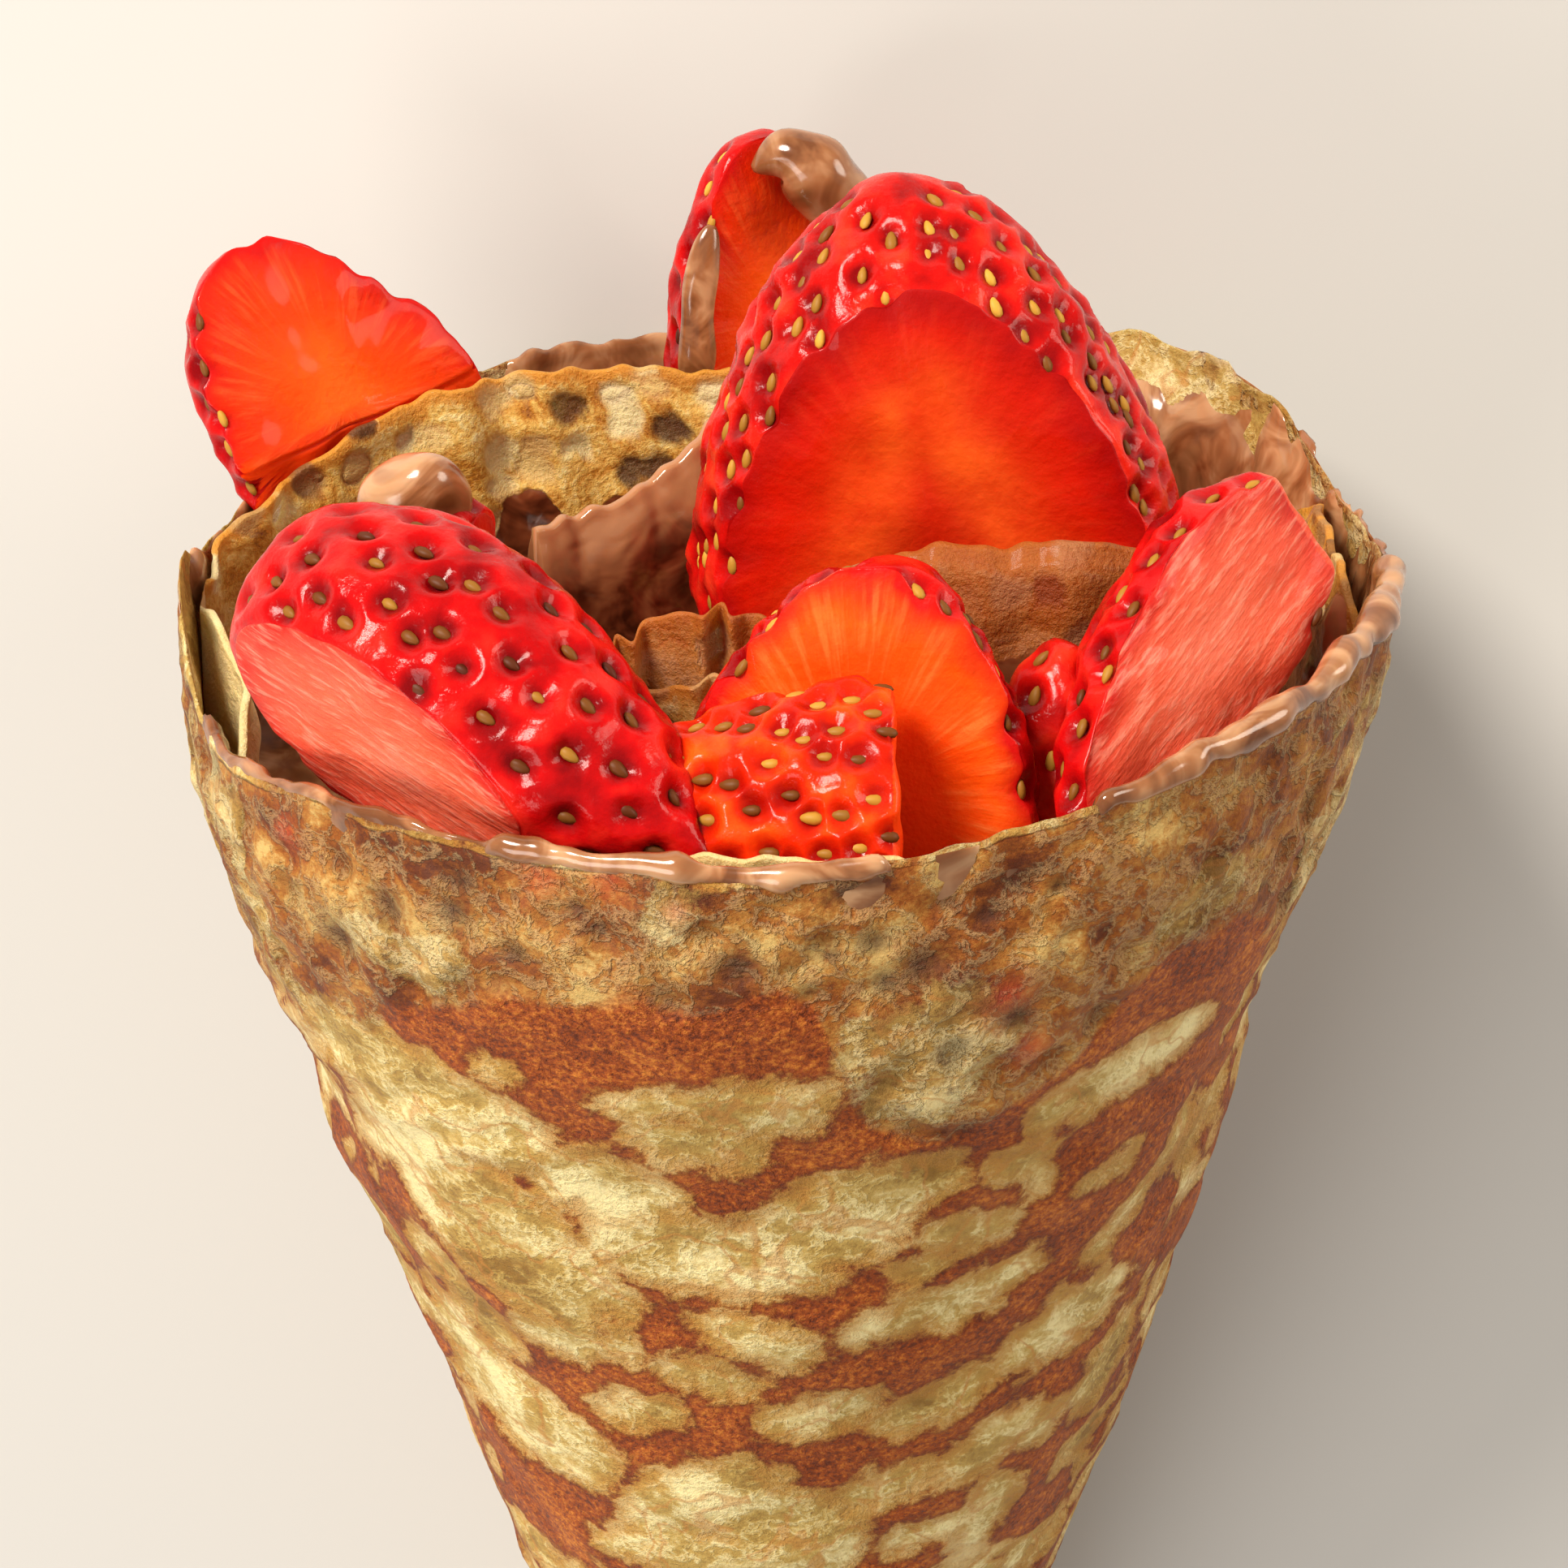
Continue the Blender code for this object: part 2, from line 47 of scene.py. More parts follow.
# The cone's own terms, all in mm: right, front (toward the viewer) and up (over the reference ring)
cone = {
    "taper": 0.285,          # radius gained for each mm along the axis
    "ringHeight": 155.0,     # the reference ring over the sharp tip
    "noseHeight": 5.4,
    "wall": 1.8,
    "backWall": 3.1,
    "cupDepth": 9.0,
    "flatDepth": 1.2,        # how far the back is pressed flat
    "axisRight": 47.56,      # from the left end of the crepe's solid to the axis
    "seamStep": 1.2,         # the free edge of the outer layer
    "seamAngle": 84.0,       # 0 faces the viewer, 90 is the right side
    "rim": [(-180, 19.0), (-160, 19.5), (-140, 19.0), (-120, 18.0), (-100, 17.5), (-84, 21.0), (-66, 14.2),
            (-45, 16.5), (-15, 18.0), (0, 17.8), (15, 19.6), (45, 22.4), (75, 22.5), (105, 20.0),
            (122, 23.2), (140, 23.6), (155, 21.0)],
    "leftBulge": [(-60, 0.0), (-36, 0.6), (-26, 1.5), (-19, 0.6), (-16, 1.0), (-11, 2.0), (-2, 1.8),
                  (6, 1.7), (14, -0.5), (22, -2.8)],
    "rightBulge": [(-60, 0.6), (-36, 0.0), (-26, -0.6), (-19, -1.2), (-16, -1.6), (-11, -1.6), (-2, -1.4),
                   (6, -1.3), (14, -1.6), (22, -2.9)],
    "frontBulge": [(-60, 0.2), (-36, 0.2), (-26, 0.3), (-13, 0.5), (-2, 1.0), (6, 0.8), (14, -0.6),
                   (22, -2.0)],
}
slope = atan(cone["taper"])
crepeLow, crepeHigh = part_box("crepe")
tip = Vector((crepeLow.x + cone["axisRight"] * mm, crepeLow.y - cone["noseHeight"] * mm * cos(slope),
              -cone["flatDepth"] * mm))


# Curves, noise and the cone's own surfaces

def smoothStep(value, low, high):  # 0 below low, 1 above high, eased between them
    t = np.clip((value - low) / (high - low), 0.0, 1.0)
    return t * t * (3.0 - 2.0 * t)


# a cubic between neighbouring points, its slopes taken from the points on both sides
def curveValue(points, x, period=0.0):
    xs, ys = np.array(points, float).T
    if period:
        x = xs[0] + (x - xs[0]) % period
        xs = np.concatenate([[xs[-1] - period], xs, [xs[0] + period, xs[1] + period]])
        ys = np.concatenate([[ys[-1]], ys, [ys[0], ys[1]]])
    else:
        x = np.clip(x, xs[0], xs[-1])
        xs = np.concatenate([[xs[0]], xs, [xs[-1]]])
        ys = np.concatenate([[ys[0]], ys, [ys[-1]]])
    k = np.clip(np.searchsorted(xs[2:-1], x) + 1, 1, len(xs) - 3)
    span = xs[k + 1] - xs[k]
    t = (x - xs[k]) / span
    a = (ys[k + 1] - ys[k - 1]) / np.maximum(xs[k + 1] - xs[k - 1], 1e-6) * span
    b = (ys[k + 2] - ys[k]) / np.maximum(xs[k + 2] - xs[k], 1e-6) * span
    rise = ys[k + 1] - ys[k]
    return ys[k] + t * (a + t * (3 * rise - 2 * a - b + t * (a + b - 2 * rise)))


def smoothPath(points, count):  # evenly numbered points along the smooth curve through the given ones
    steps = np.linspace(0.0, len(points) - 1.0, count)
    return np.stack([curveValue([(i, p[k]) for i, p in enumerate(points)], steps)
                     for k in range(len(points[0]))], -1)


# smooth noise, about -1 to 1: the sum of sines of one wavelength in all directions
def waves(points, size, seed, count=14):
    rng = np.random.default_rng(seed)
    ways = rng.normal(size=(count, points.shape[-1]))
    ways *= (2 * pi / size * rng.uniform(0.7, 1.35, (count, 1))) / np.linalg.norm(ways, axis=1, keepdims=True)
    return np.sin(points @ ways.T + rng.uniform(0, 2 * pi, count)).sum(-1) / (0.5 * count) ** 0.5 / 1.7


def scatter(a, b, seed):  # a number from 0 to 1 for each whole-numbered cell
    return np.modf(np.abs(np.sin(a * 127.1 + b * 311.7 + seed * 74.7) * 43758.5453))[0]


# distance to the nearest and the next of points scattered one to a cell, and the cell's number
def cells(u, v, sizeU, sizeV, seed):
    x, y = u / sizeU, v / sizeV
    cx, cy = np.floor(x), np.floor(y)
    first, second, owner = np.full(x.shape, 9.0), np.full(x.shape, 9.0), np.zeros(x.shape)
    for dx in (-1, 0, 1):
        for dy in (-1, 0, 1):
            gx, gy = cx + dx, cy + dy
            d = np.hypot(x - gx - 0.12 - 0.76 * scatter(gx, gy, seed),
                         y - gy - 0.12 - 0.76 * scatter(gx, gy, seed + 1))
            second = np.minimum(second, np.maximum(first, d))
            owner = np.where(d < first, scatter(gx, gy, seed + 2), owner)
            first = np.minimum(first, d)
    return first, second, owner


def rimHeight(angle):  # a closed curve through the given heights of the rim
    return curveValue(cone["rim"], angle, 360.0)


def sheetRadius(angle, up):  # the straight cone and the bulge of its front, left and right
    c, s = np.cos(np.radians(angle)), np.sin(np.radians(angle))
    radius = cone["taper"] * (cone["ringHeight"] + up)
    radius = radius + np.maximum(c, 0) ** 2 * curveValue(cone["frontBulge"], up)
    radius = radius + np.maximum(-s, 0) ** 2 * curveValue(cone["leftBulge"], up)
    return radius + np.maximum(s, 0) ** 2 * curveValue(cone["rightBulge"], up)


def wrapRadius(angle, up):  # the sheet and the step of the layer that ends at the seam
    c = np.cos(np.radians(angle))
    turn = (cone["seamAngle"] - angle) / 360.0
    layer = cone["seamStep"] * (0.25 - turn) * np.minimum(1.0, (cone["ringHeight"] + up) / 60.0)
    return sheetRadius(angle, up) + layer * np.where(c < 0, 1 - c ** 4, 1.0)


def wallThickness(angle):  # thicker toward the back, by the cosine cubed
    return cone["wall"] + (cone["backWall"] - cone["wall"]) * np.maximum(-np.cos(np.radians(angle)), 0) ** 3


def place(right, front, up):  # the cone's terms to metres in the frame: the axis leans back by the slope
    height = up + cone["ringHeight"]
    return np.stack([tip.x + mm * right, tip.y + mm * (height * cos(slope) - front * sin(slope)),
                     tip.z + mm * (height * sin(slope) + front * cos(slope))], -1)


def gridNormals(points, wrapRows=False):  # across the rows times along them; the columns always close
    down = np.gradient(points, axis=0)
    if wrapRows:
        down = (np.roll(points, -1, 0) - np.roll(points, 1, 0)) / 2
    over = (np.roll(points, -1, 1) - np.roll(points, 1, 1)) / 2
    normal = np.cross(over, down)
    return normal / np.maximum(np.linalg.norm(normal, axis=-1, keepdims=True), 1e-12)


# verts N x 3, faces a list of arrays of equal-sided faces
def meshObject(name, verts, faces, material, attributes=None):
    tris = np.concatenate([f if f.shape[1] == 3 else np.concatenate([f[:, :3], f[:, [0, 2, 3]]])
                           for f in faces])
    a, b, c = verts[tris[:, 0]], verts[tris[:, 1]], verts[tris[:, 2]]
    if (a * np.cross(b, c)).sum() < 0:  # a negative volume means that the faces point inward
        faces = [f[:, ::-1] for f in faces]
    mesh = bpy.data.meshes.new(name)
    mesh.vertices.add(len(verts))
    mesh.vertices.foreach_set("co", verts.astype(np.float32).ravel())
    mesh.loops.add(sum(f.size for f in faces))
    mesh.loops.foreach_set("vertex_index", np.concatenate([f.ravel() for f in faces]).astype(np.int32))
    sizes = np.concatenate([np.full(len(f), f.shape[1]) for f in faces])
    mesh.polygons.add(len(sizes))
    mesh.polygons.foreach_set("loop_start", (np.cumsum(sizes) - sizes).astype(np.int32))
    for key, value in (attributes or {}).items():
        kind, field = ("FLOAT_VECTOR", "vector") if value.ndim == 2 else ("FLOAT", "value")
        mesh.attributes.new(key, kind, "POINT").data.foreach_set(field, value.astype(np.float32).ravel())
    mesh.update(calc_edges=True)
    mesh.validate()
    mesh.shade_smooth()
    mesh.materials.append(material)
    item = bpy.data.objects.new(name, mesh)
    bpy.context.scene.collection.objects.link(item)
    return item


# rows of closed loops, joined to a ring or closed by a point at both ends
def loft(name, grid, material, attributes=None, wrapRows=False):
    rows, cols = grid.shape[:2]
    k, nextK = np.arange(cols), (np.arange(cols) + 1) % cols
    r = np.arange(rows if wrapRows else rows - 1)[:, None]
    a, b = r * cols + k, r * cols + nextK
    quads = np.stack([a, b, (b + cols) % (rows * cols), (a + cols) % (rows * cols)], -1).reshape(-1, 4)
    verts, faces = grid.reshape(-1, 3), [quads]
    flat = {key: value.reshape(rows * cols, -1) for key, value in (attributes or {}).items()}
    if not wrapRows:
        verts = np.concatenate([verts, grid[:1].mean(1), grid[-1:].mean(1)])
        faces.append(np.stack([np.full(cols, rows * cols), nextK, k], 1))
        faces.append(np.stack([np.full(cols, rows * cols + 1), (rows - 1) * cols + k,
                               (rows - 1) * cols + nextK], 1))
        flat = {key: np.concatenate([v, v[:cols].mean(0)[None], v[-cols:].mean(0)[None]])
                for key, v in flat.items()}
    return meshObject(name, verts, faces, material,
                      {key: v[:, 0] if v.shape[1] == 1 else v for key, v in flat.items()})


# every piece rides on the one body; most stand for a solid, which is hidden
def settle(item, slotName, *nodes):
    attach(item, "root")
    if nodes:
        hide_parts(*nodes)


# Materials

def linear(code):  # an sRGB hex value to linear red, green, blue
    parts = [int(code[i:i + 2], 16) / 255 for i in (1, 3, 5)]
    return tuple(p / 12.92 if p <= 0.04045 else ((p + 0.055) / 1.055) ** 2.4 for p in parts) + (1.0,)


# Each kind of node: its type, the inputs that the values fill in turn, the output that is used, its settings.
# Any other word is an operation of the math node. A noise's scale is 1000 over the size of its lumps in mm.
nodeKinds = {
    "mix": ("ShaderNodeMix", (0, 6, 7), 2, {"data_type": "RGBA"}),
    "ease": ("ShaderNodeMapRange", (0, 1, 2), 0, {"interpolation_type": "SMOOTHSTEP"}),   # from 0 to 1
    "range": ("ShaderNodeMapRange", (0, 1, 2, 3, 4), 0, {}),
    "shades": ("ShaderNodeValToRGB", (0,), 0, {}),
    "noise": ("ShaderNodeTexNoise", ("Vector", "Scale", "Detail", "Roughness", "Distortion"), 0, {}),
    "bump": ("ShaderNodeBump", ("Height", "Distance"), 0, {}),
    "where": ("ShaderNodeTexCoord", (), "Object", {}),
    "attribute": ("ShaderNodeAttribute", (), "Fac", {}),
    "vector": ("ShaderNodeAttribute", (), "Vector", {}),
}


def addNode(tree, kind, *values, **settings):  # a node with its settings, its values and its links
    mathNode = ("ShaderNodeMath", (0, 1, 2), 0, {"operation": kind})
    nodeType, inputs, output, fixed = nodeKinds.get(kind, mathNode)
    node = tree.nodes.new(nodeType)
    stops = list(settings.pop("stops", ()))
    for extra in stops[2:]:
        node.color_ramp.elements.new(0.5)
    for index, (position, code) in enumerate(stops):
        node.color_ramp.elements[index].position = position
        node.color_ramp.elements[index].color = linear(code)
    for key, value in {**fixed, **settings}.items():
        setattr(node, key, value)
    for key, value in zip(inputs, values):
        if isinstance(value, bpy.types.NodeSocket):
            tree.links.new(value, node.inputs[key])
        else:
            node.inputs[key].default_value = linear(value) if isinstance(value, str) else value
    return node.outputs[output]


def newMaterial(name, **sockets):  # the Principled shader with the values that are the same all over
    material = bpy.data.materials.new(name)
    material.use_nodes = True
    shader = material.node_tree.nodes["Principled BSDF"]
    for key, value in sockets.items():
        shader.inputs[key.replace("_", " ")].default_value = value
    return material, shader, partial(addNode, material.node_tree)


def connect(shader, **sockets):  # links what varies over the surface
    for key, value in sockets.items():
        shader.id_data.links.new(value, shader.inputs[key.replace("_", " ")])


# Griddled crepe: batter browned on a hot plate. The pan prints an orange-brown network with ragged, granular
# edges, and the bubbles between stay pale, with a faint oily sheen.
crepeLooks = {
    "brown": ("#5c2308", "#984511", "#cc7b2d"),
    "outline": "#6b280b",
    "pale": ("#8a6426", "#b99850", "#e8d69c"),
    "golden": "#c98d3c",
    "vein": "#b87a38",
    "band": ("#5e290a", "#904e15", "#ac7431", "#c8a562"),
    # lace: the crepe's pale lace colour on the ridges, partly a painted highlight
    "lace": "#d8c08a",
    "crack": "#5f2e12",
    "pitShade": "#4a2c1f",
    # painted shade in the pits of the upper band
    "blush": "#c8452c",
    "grainSize": 0.55,      # granules of browned batter, mm
    "wrinkleSize": 1.6,
    "crackSize": 1.3,
    "raggedSize": 2.4,      # bays along the edge of a bubble
    "crinkleSize": 3.0,
    "patchSize": 6.0,
    "veinSize": 9.0,
    "cloudSize": 14.0,
    "roughness": (0.45, 0.75),
}


# colours: pale in the bubbles, browned between them, mottled in the upper band; all shaded by noise.
# relief: granules, puffed bubbles, wrinkles and ridges added up
def crepeMaterial(name, looks):
    material, shader, add = newMaterial(name, Subsurface_Weight=0.12, Subsurface_Scale=0.0025, IOR=1.3,
                                        Subsurface_Radius=(1.0, 0.55, 0.25), Coat_Weight=0.08,
                                        Coat_Roughness=0.3)
    spot = add("where")
    pale, band, pitShade, blush = (
        add("attribute", attribute_name=key) for key in ("pale", "band", "pitShade", "blush"))
    fine = add("noise", spot, 1000 / looks["grainSize"], 4.0, 0.75)
    patches = add("noise", spot, 1000 / looks["patchSize"], 4.0, 0.6)
    # thin raised lines where the noise crosses its middle
    crinkle = add("SUBTRACT", add("noise", spot, 1000 / looks["crinkleSize"], 5.0, 0.65, 0.3), 0.5)
    ridge = add("SUBTRACT", 1.0, add("ease", add("ABSOLUTE", crinkle), 0.0, 0.06))
    # mm inside a bubble, with a ragged, granular edge
    ragged = add("SUBTRACT", add("noise", spot, 1000 / looks["raggedSize"], 4.0, 0.6, 0.6), 0.5)
    distance = add("MULTIPLY_ADD", ragged, 3.8, pale)
    distance = add("MULTIPLY_ADD", add("SUBTRACT", fine, 0.5), 1.5, distance)
    island = add("ease", distance, -0.35, 0.5)
    outline = add("SUBTRACT", add("ease", distance, -1.3, -0.3), add("ease", distance, -0.2, 0.1),
                  use_clamp=True)
    golden = add("SUBTRACT", add("ease", distance, -0.7, 0.1), add("ease", distance, 0.4, 2.4),
                 use_clamp=True)
    brown = add("shades", add("MULTIPLY_ADD", patches, 0.35, add("MULTIPLY", fine, 0.75)),
                stops=zip((0.42, 0.55, 0.70), looks["brown"]))
    paleMix = add("MULTIPLY_ADD", patches, 0.6, add("MULTIPLY", fine, 0.25))
    # partly painted highlight: the ridges are a little paler in the bubbles too
    paleMix = add("MULTIPLY_ADD", ridge, 0.07, paleMix)
    paleMix = add("MULTIPLY_ADD", add("noise", spot, 1000 / looks["cloudSize"], 2.0, 0.55), 0.35, paleMix)
    paleColour = add("shades", paleMix, stops=zip((0.48, 0.60, 0.72), looks["pale"]))
    vein = add("ABSOLUTE", add("SUBTRACT", add("noise", spot, 1000 / looks["veinSize"], 3.0, 0.5, 0.4), 0.47))
    vein = add("MULTIPLY", add("SUBTRACT", 1.0, add("ease", vein, 0.003, 0.02)), 0.55)
    paleColour = add("mix", vein, paleColour, looks["vein"])
    colour = add("mix", island, brown, paleColour)
    colour = add("mix", add("MULTIPLY", outline, 0.6), colour, looks["outline"])
    colour = add("mix", add("MULTIPLY", golden, 0.6), colour, looks["golden"])
    # the upper band: mottled, with pale lace on its ridges, partly a painted highlight, and dark cracks
    bandColour = add("shades", add("MULTIPLY_ADD", patches, 0.7, add("MULTIPLY", fine, 0.3)),
                     stops=zip((0.38, 0.47, 0.55, 0.63), looks["band"]))
    bandColour = add("mix", add("MULTIPLY", island, 0.7), bandColour, paleColour)
    # partly painted highlight: the ridges are painted paler, as where light catches them
    bandColour = add("mix", add("MULTIPLY", ridge, 0.28), bandColour, looks["lace"])
    crack = add("ease", add("noise", spot, 1000 / looks["crackSize"], 4.0, 0.7), 0.56, 0.68)
    bandColour = add("mix", add("MULTIPLY", crack, 0.5), bandColour, looks["crack"])
    inBand = add("ease", add("MULTIPLY_ADD", add("SUBTRACT", patches, 0.5), 1.2, band), 0.3, 0.7)
    colour = add("mix", inBand, colour, bandColour)
    colour = add("mix", add("MULTIPLY", blush, 0.5), colour, looks["blush"])
    # painted shade: darker in the pits of the upper band
    colour = add("mix", add("MULTIPLY", pitShade, 0.85), colour, looks["pitShade"])
    # mm: granules, puffed bubbles, fine wrinkles and the ridges
    height = add("MULTIPLY_ADD", fine, 0.2, add("MULTIPLY", add("ease", distance, -1.0, 1.6), 0.45))
    height = add("MULTIPLY_ADD", add("noise", spot, 1000 / looks["wrinkleSize"], 3.0, 0.6), 0.3, height)
    height = add("MULTIPLY_ADD", ridge, add("MULTIPLY_ADD", band, 0.12, 0.07), height)
    connect(shader, Base_Color=colour, Roughness=add("range", fine, 0.3, 0.7, *looks["roughness"]),
            Normal=add("bump", height, mm))
    return material


# Pale bubbles between the browned lines at the front: angle and height of both ends of each,
# and its half width in mm
islands = [
    (-51, -7.8, -30, -9.7, 5.5), (-46, -15.9, -29, -25.3, 7.4), (-24, -13.1, -15, -14.3, 3.9),
    (-18, -19.9, 1, -20.1, 4.2), (3, -14.4, 15, -12.0, 3.5), (-4, -18.4, 9, -16.5, 3.8),
    (-16, -4.0, 3, -1.5, 1.7), (-13, -6.7, -4, -7.7, 2.5), (-7, -4.1, 1, -3.9, 2.3), (9, 2.8, 18, 3.2, 3.7),
    (11, -2.5, 15, -1.3, 2.8), (28, -7.3, 46, -5.2, 2.6), (23, -12.1, 28, -12.7, 1.6),
    (28, -10.8, 29, -16.0, 0.9), (17, -18.1, 25, -19.4, 1.8), (14, -21.9, 18, -21.5, 1.2),
    (9, -27.9, 30, -24.8, 2.0), (19, -27.3, 24, -27.0, 2.6), (33, -35.3, 48, -32.8, 2.9),
    (40, -33.0, 45, -33.7, 4.4), (51, -44.0, 57, -40.3, 4.2), (-33, -32.7, -22, -31.8, 2.4),
    (-8, -27.4, 2, -30.0, 2.2), (-14, -33.2, -5, -34.2, 1.9), (-24, -39.8, -17, -38.8, 2.1),
    (0, -38.7, 10, -36.8, 2.3), (16, -39.9, 27, -36.9, 2.3), (27, -46.9, 35, -43.4, 2.8),
    (39, -46.3, 42, -44.7, 2.0), (11, -48.7, 20, -46.6, 2.2), (33, -57.2, 35, -51.5, 2.5),
    (19, -55.1, 26, -54.2, 1.7), (53, -52.2, 65, -51.3, 2.8), (-46, -32.7, -41, -36.2, 2.9),
    (-52, -29.2, -47, -30.0, 2.5), (-52, -43.8, -33, -46.3, 5.8), (-54, -37.9, -51, -43.9, 5.4),
    (-21, -52.2, -6, -46.4, 4.2), (-6, -49.6, 6, -54.2, 5.2), (-16, -56.8, 2, -58.2, 5.2),
    (-30, -57.4, -22, -55.0, 1.9), (-25, -21.6, -20, -26.2, 2.2), (41, -26.7, 48, -22.6, 1.5),
    (52, -21.3, 55, -16.0, 1.7), (-29, -2.8, -28, -2.8, 1.3), (37, -17.1, 42, -17.2, 1.1),
    (-57, -19.2, -52, -18.6, 1.9), (-10, 13.2, -8, 16.4, 1.1), (38, 9.0, 43, 10.2, 2.4),
    (-36, 5.5, -31, 7.0, 2.0), (-42, 6.0, -38, 7.0, 1.4), (14, 6.8, 17, 6.0, 1.4),
]
# Pits in the upper band, whose colour is darkened as painted shade: angle, height and radius in mm
pits = [
    (-4, 10.5, 1.5), (-11, 7.2, 1.5), (12, 9.5, 1.6), (9, 8.5, 1.2), (8, 11.9, 0.9), (18, 13.3, 0.8),
    (-30, 11.4, 1.3), (-37, 10.1, 1.5), (-24, 9.1, 1.0), (4, 11.2, 0.7), (5, 16.4, 0.8), (-45, 4.7, 1.6),
    (-16, 12.5, 0.8), (-18, 13.7, 0.8), (14, 15.0, 0.8), (-29, 14.0, 1.2), (2, 8.0, 0.7), (24, 15.0, 0.6),
    (21, 4.0, 1.2),
]
# Red berries showing through the thin crepe: angle, height and radius in mm
blushes = [(-21, 15.9, 1.7), (-15, 16.6, 1.5), (20, 5.6, 2.2), (23, 0.8, 1.6), (-9, 15.0, 1.0),
           (-50, 12.0, 1.5)]
# Lower edge of the upper band: angle and height in mm
bandEdge = [(-180, 3.0), (-140, 5.0), (-100, 1.0), (-64, -8.0), (-45, -3.0), (-32, 2.2), (-24, 5.0),
            (-12, 6.5), (-2, 7.0), (3, 5.5), (8, -5.0), (14, -7.0), (19, -5.6), (26, -3.7), (32, 0.4),
            (37, 3.4), (46, 4.0), (56, 1.0), (80, -2.0), (110, 3.0), (150, 0.0)]
wrap = {
    "fineStep": 0.72,        # degrees between columns at the front
    "coarseStep": 1.5,
    "rowsLow": 150, "rowsBand": 48, "rowsIn": 30,
    "start": 12.0,           # mm from the sharp tip to the first row of the sheet
    "bandRadius": 48.0,      # turns an angle into a length in the upper band, mm
    "lip": 1.0,              # the rim is rounded over this height, mm
    "lumps": 0.34, "dents": 0.16, "pitDepth": 0.65, "creases": 0.17,   # mm
    "cellWide": 12.0, "cellHigh": 6.8, "line": 0.85,                    # mm, the browned network elsewhere
}


def paleDistance(angle, up):  # mm inside a pale bubble, negative on the browned lines
    reach = np.radians(angle) * (14.0 + 0.6 * cone["taper"] * (cone["ringHeight"] + up))
    tall = up / cos(slope)
    slant = tall + 0.12 * reach
    flat = np.stack([reach, tall], -1)
    across, along = reach + 2.4 * waves(flat, 11.0, 13), slant + 1.8 * waves(flat, 9.0, 14)
    first, second, owner = cells(across, along, wrap["cellWide"], wrap["cellHigh"], 3)
    elsewhere = (second - first) * wrap["cellHigh"] * 0.62 - wrap["line"] * (0.6 + 0.9 * owner)
    elsewhere = np.where(owner > 0.88, -1.2, elsewhere) + 0.3 * waves(flat, 3.4, 15)
    # now and then several bubbles run together
    big, bigOwner = cells(across + 40, along, 26.0, 15.0, 9)[::2]
    elsewhere = np.maximum(elsewhere,
                           np.where(bigOwner < 0.4, (0.40 - big) * 12.0 + 1.1 * waves(flat, 6.0, 16), -9.0))
    placed = np.full(angle.shape, -9.0)
    for startAngle, startUp, endAngle, endUp, half in islands:
        radius = cone["taper"] * (cone["ringHeight"] + 0.5 * (startUp + endUp))
        du, dv = radians(endAngle - startAngle) * radius, (endUp - startUp) / cos(slope)
        pu, pv = np.radians(angle - startAngle) * radius, (up - startUp) / cos(slope)
        t = np.clip((pu * du + pv * dv) / max(du * du + dv * dv, 1e-6), 0, 1)
        taper = 1.0 - 0.25 * np.abs(2 * t - 1) ** 2
        placed = np.maximum(placed, half * taper - np.hypot(pu - t * du, pv - t * dv))
    placed = placed + 0.62 + 0.45 * waves(flat, 4.5, 4)
    shown = smoothStep(60 - np.abs(angle), 0, 6) * smoothStep(up, -62, -58)
    return np.clip(placed * shown + elsewhere * (1 - shown), -3.0, 3.0)


